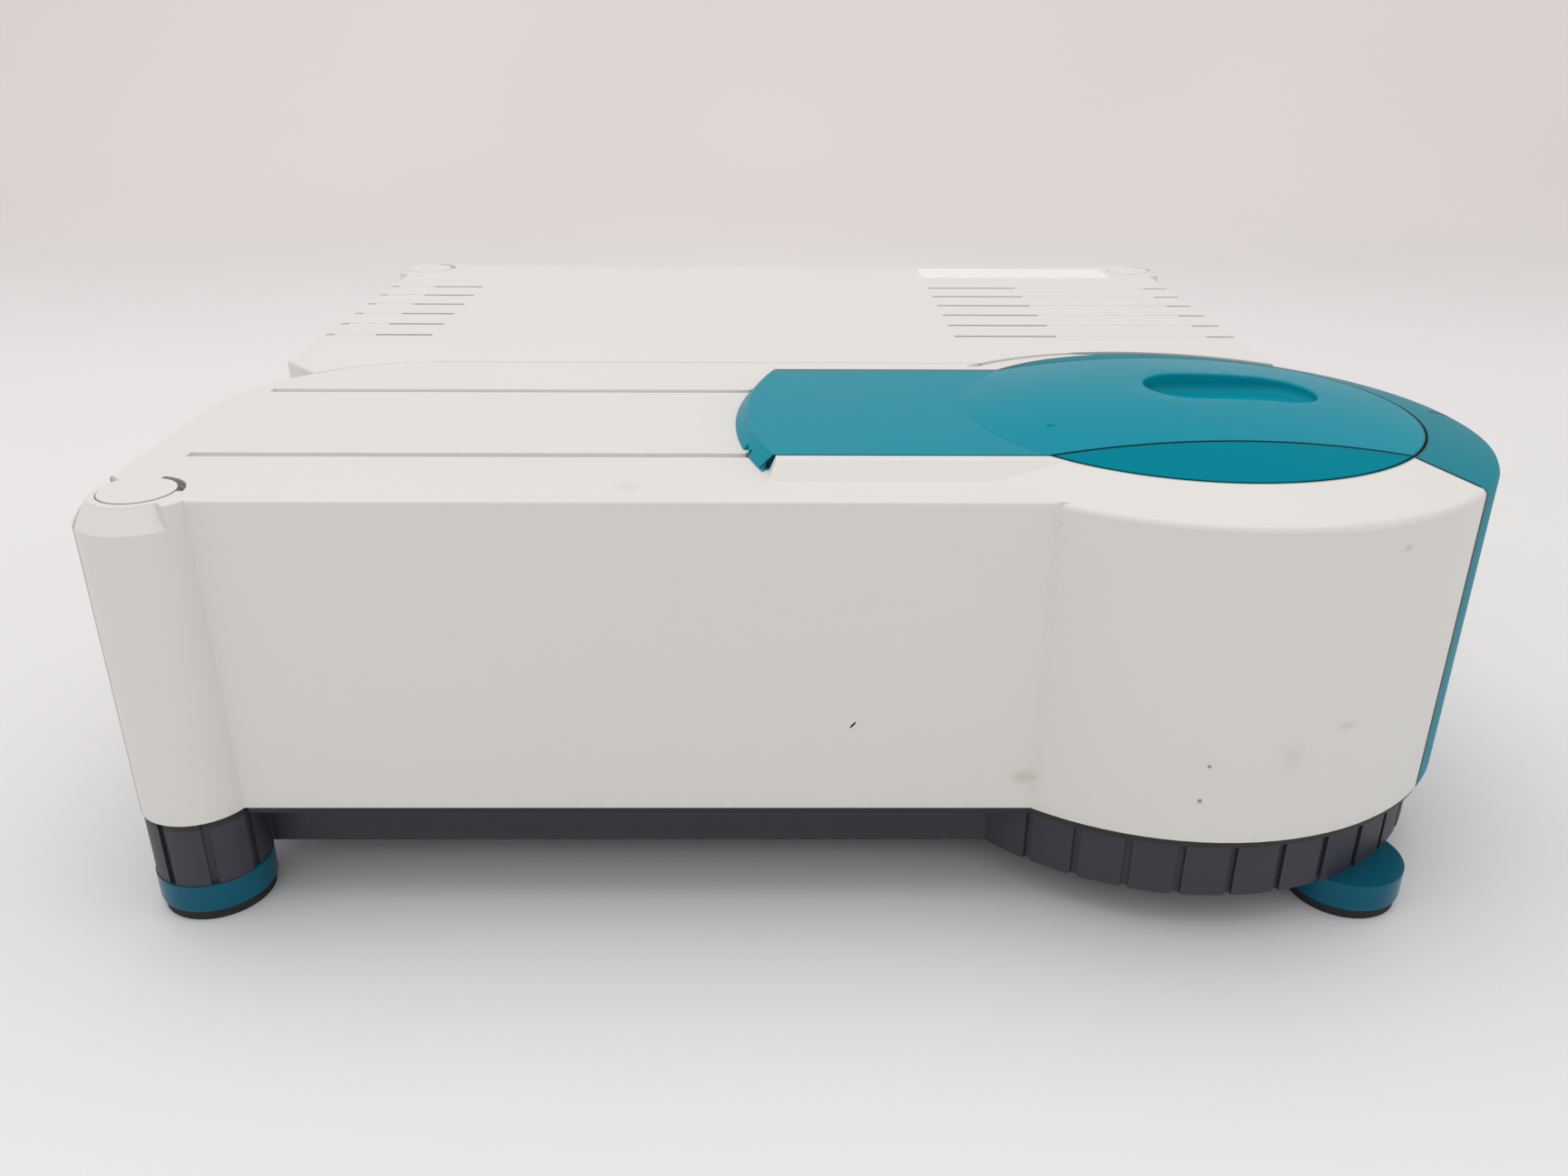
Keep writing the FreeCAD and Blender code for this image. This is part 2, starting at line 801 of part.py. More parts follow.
def vents(body):
    """Rows of slots on each side: an open slot, a shallow mark, and a dash that runs down the side wall."""
    side = "(post_span_x/2 + rear_side_outset)"
    low = "vent_first - vent_width/2"
    high = "vent_first + vent_width/2"
    left_mark = "-%s + vent_dash" % side
    left_slot = left_mark + " + vent_left_mark"
    right_mark = "%s - vent_dash - vent_right_mark" % side
    right_slot = right_mark + " - vent_right_slot"
    slot = new_sketch(body, "vent_slots", lift="cover_top")
    rectangle(slot, left_slot, left_slot + " + vent_left_slot", low, high)
    rectangle(slot, right_slot, right_slot + " + vent_right_slot", low, high)
    rectangle(slot, "-%s - 1" % side, "-%s + vent_dash" % side, low, high)
    rectangle(slot, "%s - vent_dash" % side, "%s + 1" % side, low, high)
    rows(body, pocket(body, slot, "2*wall"), slot)
    mark = new_sketch(body, "vent_marks", lift="cover_top")
    rectangle(mark, left_mark, left_mark + " + vent_left_mark", low, high)
    rectangle(mark, right_mark, right_mark + " + vent_right_mark", low, high)
    rows(body, pocket(body, mark, "vent_mark_depth"), mark)
    louvre = new_sketch(body, "vent_louvres", lift="cover_top")
    rectangle(louvre, "-%s - 1" % side, "-%s + wall + 1" % side, low, high)
    rectangle(louvre, "%s - wall - 1" % side, "%s + 1" % side, low, high)
    rows(body, pocket(body, louvre, "vent_side_drop"), louvre)


def rows(body, original, sketch):
    """Repeat a row of vents towards the rear."""
    feature = body.newObject("PartDesign::LinearPattern", original.Name + "_rows")
    feature.Originals = [original]
    feature.Direction = (sketch, ["V_Axis"])
    bind(feature, "Length", "vent_pitch*(vent_count - 1)")
    bind(feature, "Occurrences", "vent_count")
    return settle(body, feature, False)


def panel_window(body):
    """The opening in the rear wall that the connector panel fills."""
    window = new_sketch(body, "panel_window", "XZ_Plane", lift="-(post_span_y/2 + end_outset)")
    rectangle(window, "-panel_length/2 + panel_x", "panel_length/2 + panel_x", "panel_low",
              "panel_low + panel_height")
    pocket(body, window, "2*wall", reverse=True)


# Teal mouldings


def new_compartment_body(label, z=0):
    """A body whose own origin stands on the sample compartment's axis."""
    return new_body(label, "compartment_x", "compartment_y", z)


def dome_sphere():
    """The radius of the dome's sphere and the height of its centre."""
    sphere = (sizes.lid_circle ** 2 + sizes.dome_rise ** 2) / (2 * sizes.dome_rise)
    return sphere, sizes.cover_top + sizes.ring_rise + sizes.dome_rise - sphere


def dome_profile(sketch, radius, floor):
    """Half of a shallow dome with a short upright edge."""
    sphere, centre = dome_sphere()
    rim = centre + chord(sphere, radius)
    line(sketch, (0, floor), (radius, floor))
    line(sketch, (radius, floor), (radius, rim))
    arc(sketch, (0, centre), sphere, math.degrees(math.atan2(rim - centre, radius)), 90)
    line(sketch, (0, centre + sphere), (0, floor))


def dome(body, radius, floor):
    profile = new_sketch(body, body.Name + "_dome", "XZ_Plane")
    dome_profile(profile, radius, floor)
    return revolve(body, profile)


def lid():
    """The sliding lid: the middle of the dome and the flat tongue behind it, with a bevelled nose."""
    body = new_compartment_body("lid")
    under = sizes.cover_top + sizes.clearance
    top = sizes.cover_top + sizes.ring_rise
    reach = sizes.lid_circle - sizes.clearance
    dome(body, reach, under)
    half = "(lid_half_width - clearance)"
    sides = new_sketch(body, "lid_sides", lift=under)
    rectangle(sides, "-2*lid_circle", "2*lid_circle", half, "2*lid_circle")
    rectangle(sides, "-2*lid_circle", "2*lid_circle", "-2*lid_circle", "-%s" % half)
    pocket(body, sides, "3*dome_rise", reverse=True)
    tongue = new_sketch(body, "tongue", lift=under)
    width = number(half)
    nose = sizes.nose_radius
    angle = math.degrees(math.asin(width / nose))
    arc(tongue, (0, 0), nose, 180 - angle, 180 + angle)
    end = point_on((0, 0), nose, 180 - angle)
    line(tongue, end, (0, width))
    line(tongue, (0, width), (0, -width))
    line(tongue, (0, -width), (end[0], -end[1]))
    pad(body, tongue, top - under)
    for side in (-1, 1):
        ear = new_sketch(body, "ear_rear" if side > 0 else "ear_front", "YZ_Plane", lift="-nose_radius")
        fall = sizes.ring_rise / sizes.strip_width
        reach = sizes.ear_reach
        polygon(ear, [
            (side * (width - 1), under),
            (side * (width - 1), top),
            (side * width, top),
            (side * (width + reach), top - fall * reach),
            (side * (width + reach), under),
        ])
        pad(body, ear, "ear_length - clearance")
    bevel = new_sketch(body, "nose_bevel", "XZ_Plane", turn=180, turn_axis=(0, 1, 0))
    slope = sizes.nose_bevel / sizes.ring_rise
    polygon(bevel, [
        (nose - sizes.nose_bevel - slope, top + 1),
        (nose + 1, top + 1),
        (nose + 1, sizes.cover_top - 1 / slope),
    ])
    revolve(body, bevel, 60, cuts=True)
    front = new_sketch(body, "nose_front", "XZ_Plane", turn=180, turn_axis=(0, 1, 0))
    rectangle(front, "nose_radius", "1.1*nose_radius", under - 1, top + 1)
    revolve(body, front, 60, cuts=True)
    notch = new_sketch(body, "nose_notch", lift=under)
    for side in (-1, 1):
        middle = "%d*groove_offset" % side
        rectangle(notch, "-nose_radius - 1", "-nose_radius + 2*nose_bevel", middle + " - groove_width/4",
                  middle + " + groove_width/4")
    pocket(body, notch, "ring_rise/3", reverse=True)
    underside = new_sketch(body, "lid_underside", lift=under)
    inner = sizes.lid_circle - 2 * sizes.wall
    inner_half = width - sizes.wall
    lip = math.degrees(math.asin(inner_half / inner))
    arc(underside, (0, 0), inner, -lip, lip)
    arc(underside, (0, 0), inner, 180 - lip, 180 + lip)
    for side in (-1, 1):
        line(underside, (chord(inner, inner_half), side * inner_half),
             (-chord(inner, inner_half), side * inner_half))
    pocket(body, underside, "ring_rise - wall/2", reverse=True)
    recess = new_sketch(body, "finger_recess", lift="cover_top + ring_rise + dome_rise")
    stadium(recess, "recess_length", "recess_width", "recess_shift")
    pocket(body, recess, "recess_depth")
    floor = sizes.cover_top + sizes.ring_rise + sizes.dome_rise - sizes.recess_depth
    fillet(body, "recess_floor_round", level_edge(floor), "recess_floor")
    fillet(body, "recess_edge_round", recess_rim, "recess_rim")
    return body


def recess_rim(edge):
    """A test for the edges where the finger recess breaks through the dome."""
    sphere, height = dome_sphere()
    middle = (edge.FirstParameter + edge.LastParameter) / 2
    for point in [end.Point for end in edge.Vertexes] + [edge.valueAt(middle)]:
        if abs((point - Vector(0, 0, height)).Length - sphere) > 1e-3:
            return False
        if abs(point.x - sizes.recess_shift) > sizes.recess_length / 2 + sizes.clearance:
            return False
        if abs(point.y) > sizes.recess_width / 2 + sizes.clearance:
            return False
    return True


def crescent(name, side):
    """A fixed piece of the dome beside the lid."""
    body = new_compartment_body(name)
    dome(body, sizes.lid_circle - sizes.clearance, sizes.cover_top)
    rest = new_sketch(body, name + "_rest", lift="cover_top")
    keep_from = "%d*(lid_half_width + clearance)" % side
    away = "%d*(-2*lid_circle)" % side
    low, high = (away, keep_from) if side > 0 else (keep_from, away)
    rectangle(rest, "-2*lid_circle", "2*lid_circle", low, high)
    pocket(body, rest, "3*dome_rise", reverse=True)
    return body


def compartment_panel():
    """The teal crown and wall round the right end of the compartment."""
    body = new_compartment_body("compartment_panel")
    first = sizes.teal_start + sizes.joint_angle
    last = sizes.teal_end - sizes.joint_angle
    wall_last = sizes.teal_wall_end
    outer = sizes.bulge_radius
    inner = sizes.lid_circle + sizes.clearance
    top = sizes.cover_top
    rise = sizes.ring_rise
    thick = sizes.wall
    edge = sizes.bulge_edge_round
    crown = new_sketch(body, "panel_crown", "XZ_Plane", turn=(first + last) / 2, turn_axis=(0, 1, 0))
    polygon(crown, [
        (inner, top + sizes.clearance),
        (inner + thick, top + sizes.clearance),
        (outer - edge - thick, top - thick),
        (outer - thick, top - thick - edge),
        (outer - thick, top - 5 * thick),
        (outer, top - 5 * thick),
        (outer, top - edge),
        (outer - edge * 0.3, top - edge * 0.35),
        (outer - edge, top),
        (inner, top + rise),
    ])
    revolve(body, crown, last - first)
    mark = new_sketch(body, "crown_mark", lift="cover_top - mark_depth", turn="mark_angle")
    rectangle(mark, "mark_first", "bulge_radius + 1", "-mark_width/2", "mark_width/2")
    pocket(body, mark, "ring_rise", reverse=True)
    wall = new_sketch(body, "panel_wall", "XZ_Plane", turn=(first + wall_last) / 2, turn_axis=(0, 1, 0))
    rectangle(wall, "bulge_radius - wall", "bulge_radius", "cover_bottom", "cover_top - 5*wall")
    revolve(body, wall, wall_last - first)
    return body


# Caps, base and feet


def corner_cap(name, side_x, side_y):
    body = new_body("corner_cap_" + name, "%d*post_span_x/2" % side_x, "%d*post_span_y/2" % side_y,
                    "cover_top - cap_depth")
    plan = new_sketch(body, name + "_cap")
    circle(plan, "cap_radius")
    pad(body, plan, "cap_depth + clearance")
    fillet(body, "clearance", level_edge(sizes.cap_depth + sizes.clearance), name + "_cap_edge")


def base_tray():
    """The dark base: a deck under both covers, a tray, a ribbed skirt and ribbed post feet."""
    body = new_body("base_tray")
    lower = "cover_bottom - base_bottom - deck_thickness"
    plinth = new_sketch(body, "plinth", lift="base_bottom")
    half_x = "post_span_x/2 + rear_side_outset - base_recess"
    half_y = "post_span_y/2 + end_outset - base_front_recess"
    rectangle(plinth, "-(%s)" % half_x, half_x, "-(%s)" % half_y, half_y)
    pad(body, plinth, lower)
    skirt = new_sketch(body, "skirt", lift="base_bottom", x="compartment_x", y="compartment_y")
    circle(skirt, "skirt_radius")
    pad(body, skirt, lower)
    hollow_under = new_sketch(body, "skirt_hollow", lift="base_bottom", x="compartment_x", y="compartment_y")
    circle(hollow_under, "skirt_hollow_radius")
    pocket(body, hollow_under, "skirt_hollow_depth", reverse=True)
    front_deck = new_sketch(body, "front_deck", lift="cover_bottom - deck_thickness")
    front_outline(front_deck, sizes.deck_inset, False)
    pad(body, front_deck, "deck_thickness")
    rear_deck = new_sketch(body, "rear_deck", lift="cover_bottom - deck_thickness")
    deck_x = "post_span_x/2 + rear_side_outset - deck_inset"
    rectangle(rear_deck, "-(%s)" % deck_x, deck_x, "-seam_ahead - wall",
              "post_span_y/2 + end_outset - deck_inset")
    pad(body, rear_deck, "deck_thickness")
    for name, (side_x, side_y) in FEET.items():
        foot_post(body, name, "%d*post_span_x/2" % side_x, "%d*post_span_y/2" % side_y)
    for name, front, rear, right in (("optics_bay", "bay_front", "bay_divider - bay_rib", "optics_bay_right"),
                                     ("electronics_bay", "bay_divider", "bay_rear", "bay_right")):
        bay = new_sketch(body, name, lift="cover_bottom")
        rectangle(bay, "-bay_right", right, front, rear)
        pocket(body, bay, "cover_bottom - base_bottom - floor_thickness")
    rib = new_sketch(body, "skirt_rib", lift="base_bottom", x="compartment_x", y="compartment_y",
                     turn="skirt_rib_first")
    rectangle(rib, "skirt_radius - rib_depth", "skirt_radius + 1", "-rib_groove/2", "rib_groove/2")
    groove = pocket(body, rib, lower, reverse=True)
    polar(body, groove, rib, "skirt_rib_step*(skirt_rib_count - 1)", "skirt_rib_count")
    return body


def foot_post(body, name, x, y):
    """The base's round corner over a foot: the skirt takes its place at the front right."""
    height = "cover_bottom - base_bottom"
    if name in POSTS:
        plan = new_sketch(body, name + "_foot_post", lift="base_bottom", x=x, y=y)
        circle(plan, "foot_post_radius")
        pad(body, plan, height)
    bore = new_sketch(body, name + "_foot_bore", lift="base_bottom", x=x, y=y)
    circle(bore, "foot_screw_radius + clearance")
    pocket(body, bore, "foot_screw_length", reverse=True)
    if name not in POSTS:
        return
    rib = new_sketch(body, name + "_foot_rib", lift="base_bottom", x=x, y=y, turn="180/post_rib_count")
    rectangle(rib, "foot_post_radius - rib_depth", "foot_post_radius + 1", "-rib_groove/2", "rib_groove/2")
    groove = pocket(body, rib, height, reverse=True)
    polar(body, groove, rib, 360, "post_rib_count")


def foot(name, side_x, side_y):
    """One foot: the teal ring under the post, its rubber pad and the screw that holds both."""
    x = "%d*post_span_x/2" % side_x
    y = "%d*post_span_y/2" % side_y
    ring = new_body("foot_ring_" + name, x, y, "foot_ring_bottom")
    profile = new_sketch(ring, name + "_ring", "XZ_Plane")
    rectangle(profile, "foot_screw_radius + clearance", "foot_ring_radius", 0, "base_bottom - foot_ring_bottom")
    revolve(ring, profile)
    fillet(ring, "foot_edge_round", level_edge(0, (0, 0), sizes.foot_ring_radius), name + "_ring_edge")
    plan = new_sketch(foot_pads, name + "_pad", x=x, y=y)
    circle(plan, "foot_pad_radius")
    circle(plan, "foot_pad_hole")
    pad(foot_pads, plan, "foot_ring_bottom")
    screw = new_sketch(foot_screws, name + "_screw", lift="foot_ring_bottom", x=x, y=y)
    circle(screw, "foot_screw_radius")
    pad(foot_screws, screw, "foot_screw_length")


# Sample compartment


def compartment_tub():
    """The dark round well under the lid, with a boss for each beam window."""
    body = new_compartment_body("compartment_tub")
    profile = new_sketch(body, "tub_profile", "XZ_Plane")
    top = sizes.cover_top
    bottom = sizes.cover_bottom
    outer = sizes.tub_radius
    lip = outer + sizes.tub_lip_width
    polygon(profile, [
        (0, bottom),
        (outer, bottom),
        (outer, top - sizes.tub_lip_thickness),
        (lip, top - sizes.tub_lip_thickness),
        (lip, top),
        (0, top),
    ])
    revolve(body, profile)
    for name, side in (("left", -1), ("right", 1)):
        boss = new_sketch(body, "boss_" + name, "YZ_Plane", y="beam_height", lift="%d*tub_lip_reach" % side)
        circle(boss, "window_boss")
        pad(body, boss, "tub_lip_reach - tub_radius + tub_wall", reverse=side > 0)
    well = new_sketch(body, "well", lift="cover_top")
    circle(well, "tub_radius - tub_wall")
    pocket(body, well, "cover_top - cover_bottom - tub_wall")
    seal_seat = new_sketch(body, "seal_seat", lift="cover_top")
    circle(seal_seat, "tub_radius + seal_width/2 + clearance")
    circle(seal_seat, "tub_radius - seal_width/2 - clearance")
    pocket(body, seal_seat, "seal_thickness")
    for name, side in (("left", -1), ("right", 1)):
        hole = new_sketch(body, "beam_" + name, "YZ_Plane", y="beam_height", lift="%d*tub_lip_reach" % side)
        circle(hole, "beam_hole")
        pocket(body, hole, "tub_lip_reach", reverse=side < 0)
        seat = new_sketch(body, "seat_" + name, "YZ_Plane", y="beam_height", lift="%d*tub_lip_reach" % side)
        circle(seat, "window_radius + clearance")
        pocket(body, seat, "window_seat", reverse=side < 0)
    return body


def seal_and_windows():
    seal = new_compartment_body("lid_seal", "cover_top - seal_thickness")
    ring = new_sketch(seal, "seal_ring")
    circle(ring, "tub_radius + seal_width/2")
    circle(ring, "tub_radius - seal_width/2")
    pad(seal, ring, "seal_thickness")
    windows = []
    rings = []
    for name, side in (("left", -1), ("right", 1)):
        out = (side, 0, 0)
        floor = "compartment_x + %d*(tub_lip_reach - window_seat)" % side
        windows.append(cylinder("window_glass_" + name, floor, "compartment_y", "beam_height",
                                "window_radius", "window_thickness", out))
        face = floor + " + %d*window_thickness" % side
        spot = (face, "compartment_y", "beam_height")
        blank = cylinder("ring_blank_" + name, *spot, "window_radius", "window_seat - window_thickness", out)
        hole = cylinder("ring_hole_" + name, *spot, "beam_hole", "window_seat", out)
        rings.append(cut("ring_" + name, blank, [hole]))
    group("beam_windows", windows)
    group("window_rings", rings)


def cell_holder():
    """The block that holds one cell in the beam, on its plate with two adjusting knobs."""
    x, y = "compartment_x", "compartment_y"
    floor = "cover_bottom + tub_wall"
    top = floor + " + holder_base_thickness"
    plate = box("holder_plate", x, y, floor, "holder_base_length", "holder_base_width",
                "holder_base_thickness")
    slots = [
        box("holder_slot_%d" % side, "%s + %d*holder_base_length*0.4" % (x, side), y, floor,
            "holder_base_length/10", "holder_base_width/3", "holder_base_thickness")
        for side in (-1, 1)
    ]
    cut("holder_base", plate, slots, final=True)
    block = box("holder_block", x, y, top, "holder_width", "holder_width", "holder_height")
    socket = box("holder_socket", x, y, "cell_floor", "cell_size", "cell_size", "holder_height")
    beam = cylinder("holder_beam", x + " - holder_width", y, "beam_height", "cell_beam_hole",
                    "2*holder_width", (1, 0, 0))
    drain = cylinder("holder_drain", x, y, top, "cell_beam_hole/2", "holder_height")
    cut("cell_holder", block, [socket, beam, drain], final=True)
    knobs = [
        cylinder("knob_%d" % side, "%s + %d*holder_width/4" % (x, side), y + " - holder_width/2",
                 "beam_height - holder_width/2", "knob_radius", "knob_length", (0, -1, 0))
        for side in (-1, 1)
    ]
    group("holder_knobs", knobs)
    heads = [
        cylinder("holder_screw_%d_%d" % (i, j), "%s + %d*holder_base_length*0.4" % (x, i),
                 "%s + %d*holder_base_width*0.38" % (y, j), top, "shaft_radius", "shaft_radius")
        for i in (-1, 1) for j in (-1, 1)
    ]
    group("holder_screws", heads)


def lid_runners():
    """Two strips under the tongue that slide in the grooves and stop short of their right ends."""
    length = "(nose_radius - runner_setback - groove_right - runner_gap)"
    group("lid_runners", [
        box("runner_" + name, "compartment_x - nose_radius + runner_setback + %s/2" % length,
            "compartment_y + %d*groove_offset" % side, "cover_top - groove_depth + clearance",
            length, "groove_width - 2*clearance", "groove_depth")
        for name, side in (("front", -1), ("rear", 1))
    ])


# Optics


def optical_bench():
    plate = box("bench_plate", "(bench_right - bench_left)/2", "(bench_front + bench_rear)/2", "cover_bottom",
                "bench_right + bench_left", "bench_rear - bench_front", "bench_thickness")
    hole = cylinder("bench_hole", "grating_x", "grating_y", "cover_bottom", "shaft_radius + 1", "bench_thickness")
    cut("optical_bench", plate, [hole], final=True)


def monochromator():
    """The light-tight box with its two slits, two mirrors and the turning grating."""
    x = "(mono_left + mono_right)/2"
    y = "(mono_front + mono_rear)/2"
    low = "cover_bottom + bench_thickness"
    length = "mono_right - mono_left"
    width = "mono_rear - mono_front"
    outer = box("mono_outer", x, y, low, length, width, "mono_height")
    inner = box("mono_inner", x, y, low + " + mono_wall", length + " - 2*mono_wall", width + " - 2*mono_wall",
                "mono_height")
    shaft_hole = cylinder("mono_shaft_hole", "grating_x", "grating_y", low, "shaft_radius + 1", "mono_wall")
    windows = [
        box("mono_window_" + name, "mono_right - mono_wall/2", light_y, "beam_height - slit_plate/4",
            "mono_wall", "slit_plate/2", "slit_plate/2")
        for name, light_y in (("entrance", "entrance_y"), ("exit", "compartment_y"))
    ]
    shell = cut("mono_shell", outer, [inner, shaft_hole] + windows)
    box("monochromator_cover", x, y, low + " + mono_height", length, width, "wall", final=True)
    slits = []
    for name, light_y in (("entrance", "entrance_y"), ("exit", "compartment_y")):
        plate_x = "mono_right + slit_plate_thickness/2"
        plate = box(name + "_plate", plate_x, light_y, "beam_height - slit_plate/2", "slit_plate_thickness",
                    "slit_plate", "slit_plate")
        opening = box(name + "_opening", plate_x, light_y, "beam_height - slit_length/2",
                      "slit_plate_thickness", "slit_width", "slit_length")
        slits.append(cut(name + "_slit", plate, [opening]))
    group("slits", slits)
    mounts = []
    mount_height = "beam_height + mirror_radius - cover_bottom - bench_thickness - mono_wall"
    for name, light_y in (("collimating", "entrance_y"), ("focusing", "compartment_y")):
        cylinder(name + "_mirror", "mirror_x - mirror_thickness", light_y, "beam_height", "mirror_radius",
                 "mirror_thickness", (1, 0, 0), final=True)
        mounts.append(box(name + "_mount", "mirror_x - mirror_thickness - 2", light_y, low + " + mono_wall", 4,
                          "2*mirror_radius", mount_height))
    joined("monochromator_housing", [shell] + mounts, final=True)


def grating_drive():
    """The motor under the bench turns the table that carries the grating."""
    x, y = "grating_x", "grating_y"
    case_low = "cover_bottom - grating_motor_height"
    case = box("motor_case", x, y, case_low, "grating_motor", "grating_motor", "grating_motor_height")
    bore = cylinder("motor_bore", x, y, case_low + " + grating_motor_height/4", "shaft_radius + running_fit",
                    "grating_motor_height")
    cut("grating_motor", case, [bore], final=True)
    shaft_low = case_low + " + grating_motor_height/4 + clearance"
    table_low = "beam_height - grating_size/2 - wall"
    shaft = cylinder("table_shaft", x, y, shaft_low, "shaft_radius", "%s - (%s)" % (table_low, shaft_low))
    table = cylinder("table_top", x, y, table_low, "grating_table_radius", "wall")
    joined("grating_table", [shaft, table], final=True)
    box("grating", x, y, "beam_height - grating_size/2", "grating_thickness", "grating_size", "grating_size",
        final=True)


def filter_drive():
    """A wheel of order-sorting filters between the lamp and the entrance slit."""
    y = "entrance_y - filter_pitch_radius"
    wheel = new_body("filter_wheel", "filter_x", y, "beam_height")
    wheel.Placement = Placement(Vector(), Rotation(Vector(0, 1, 0), 90))
    place(wheel, "filter_x", y, "beam_height")
    disc = new_sketch(wheel, "wheel_disc")
    circle(disc, "filter_radius")
    pad(wheel, disc, "filter_wheel_thickness")
    hole = new_sketch(wheel, "wheel_hole", lift="filter_wheel_thickness")
    circle(hole, "filter_hole", 0, "filter_pitch_radius")
    polar(wheel, pocket(wheel, hole, "filter_wheel_thickness"), disc, 360, "filter_count")
    hub = new_sketch(wheel, "wheel_hub", lift="filter_wheel_thickness")
    circle(hub, "shaft_radius")
    pad(wheel, hub, "wall")
    shaft = new_sketch(wheel, "wheel_shaft", lift="filter_wheel_thickness + wall")
    circle(shaft, "shaft_radius/2")
    pad(wheel, shaft, "wall")
    glasses = []
    for index in range(1, int(sizes.filter_count)):
        angle = 2 * math.pi * index / sizes.filter_count
        glasses.append(cylinder(
            "glass_%d" % index, "filter_x - filter_glass",
            "%s + filter_pitch_radius*%.9f" % (y, math.cos(angle)),
            "beam_height + filter_pitch_radius*%.9f" % math.sin(angle),
            "filter_hole + filter_glass", "filter_glass", (1, 0, 0)))
    group("order_filters", glasses)
    motor_x = "filter_x + filter_wheel_thickness + wall + clearance"
    case = cylinder("filter_case", motor_x, y, "beam_height", "filter_motor_radius", "filter_motor_radius", (1, 0, 0))
    foot_height = "beam_height - cover_bottom - bench_thickness"
    stand = box("filter_stand", motor_x + " + filter_motor_radius/2", y, "cover_bottom + bench_thickness",
                "filter_motor_radius", "filter_motor_radius", foot_height)
    bore = cylinder("filter_bore", motor_x, y, "beam_height", "shaft_radius/2 + running_fit", "wall", (1, 0, 0))
    cut("filter_motor", joined("filter_motor_body", [case, stand]), [bore], final=True)


def lamp():
    low = "cover_bottom + bench_thickness"
    x = "lamp_left + lamp_length/2"
    outer = box("lamp_outer", x, "entrance_y", low, "lamp_length", "lamp_width", "lamp_height")
    inner = box("lamp_inner", x, "entrance_y", low + " + lamp_wall", "lamp_length - 2*lamp_wall",
                "lamp_width - 2*lamp_wall", "lamp_height - 2*lamp_wall")
    light = cylinder("lamp_light", "lamp_left - 1", "entrance_y", "beam_height", "lens_radius - wall", "lamp_wall + 2",
                     (1, 0, 0))
    cut("lamp_housing", outer, [inner, light], final=True)
    socket_x = "lamp_left + lamp_length - lamp_wall"
    cylinder("lamp_socket", socket_x, "entrance_y", "beam_height", "bulb_radius + 3", "lamp_length/5", (-1, 0, 0),
             final=True)
    cylinder("flash_lamp", socket_x + " - lamp_length/5", "entrance_y", "beam_height", "bulb_radius",
             "lamp_length/2", (-1, 0, 0), final=True)
    cylinder("condenser_lens", "lamp_left", "entrance_y", "beam_height", "lens_radius", "wall", (-1, 0, 0),
             final=True)


def detectors():
    low = "cover_bottom + bench_thickness"
    height = "beam_height - cover_bottom - bench_thickness"
    post = box("splitter_post", "splitter_x", "compartment_y", low, "2*wall", "2*wall",
               height + " - splitter_radius")
    clip = box("splitter_clip", "splitter_x", "compartment_y", "beam_height - splitter_radius - wall", "4*wall",
               "4*wall", "wall")
    joined("splitter_holder", [post, clip], final=True)
    cylinder("beam_splitter", "splitter_x", "compartment_y", "beam_height", "splitter_radius", "wall/2",
             (1, -1, 0), final=True)
    side_y = "compartment_y - 3*detector_radius"
    eye = cylinder("reference_eye", "splitter_x", side_y, "beam_height", "detector_radius", "detector_length",
                   (0, -1, 0))
    stand = box("reference_stand", "splitter_x", side_y + " - detector_length/2", low, "detector_radius",
                "detector_length/2", height)
    joined("reference_detector", [eye, stand], final=True)
    right = "compartment_x + tub_lip_reach + wall"
    room = "(bulge_radius - tub_lip_reach - 4*wall - detector_gap)"
    eye = cylinder("sample_eye", right, "compartment_y", "beam_height", "detector_radius", room, (1, 0, 0))
    stand = box("sample_stand", right + " + %s/2" % room, "compartment_y", "cover_bottom", room + "/2",
                "detector_radius", "beam_height - cover_bottom")
    joined("sample_detector", [eye, stand], final=True)


# Electronics


def power_supply():
    floor = "base_bottom + floor_thickness"
    case = box("supply_case", "supply_x", "supply_y", floor, "supply_length", "supply_width", "supply_height")
    slots = [
        box("supply_slot_%d" % index, "supply_x + supply_length*(%d/8 - 0.5)" % index, "supply_y",
            floor + " + supply_height - wall", "wall", "supply_width*0.6", "wall")
        for index in range(1, 8)
    ]
    cut("power_supply", case, slots, final=True)


def main_board():
    floor = "base_bottom + floor_thickness"
    under = floor + " + pillar_height"
    top = under + " + board_thickness"
    box("main_board", "board_x", "board_y", under, "board_length", "board_width", "board_thickness", final=True)
    pillars = [
        cylinder("pillar_%d_%d" % (i, j), "board_x + %d*board_length*0.45" % i, "board_y + %d*board_width*0.43" % j,
                 floor, "pillar_radius", "pillar_height")
        for i in (-1, 1) for j in (-1, 1)
    ]
    group("board_pillars", pillars)
    chips = [
        box("processor", "board_x", "board_y", top, 34, 34, 4),
        box("memory", "board_x + 40", "board_y - 10", top, 12, 36, 3),
        box("heat_sink", "board_x - 55", "board_y + 20", top, 30, 44, 22),
        box("signal_socket", "board_x - 20", "board_y - 52", top, 48, 9, 9),
        cylinder("large_capacitor", "board_x - 80", "board_y - 34", top, 9, 26),
        cylinder("small_capacitor", "board_x - 58", "board_y - 34", top, 6, 16),
    ]
    group("board_parts", chips)


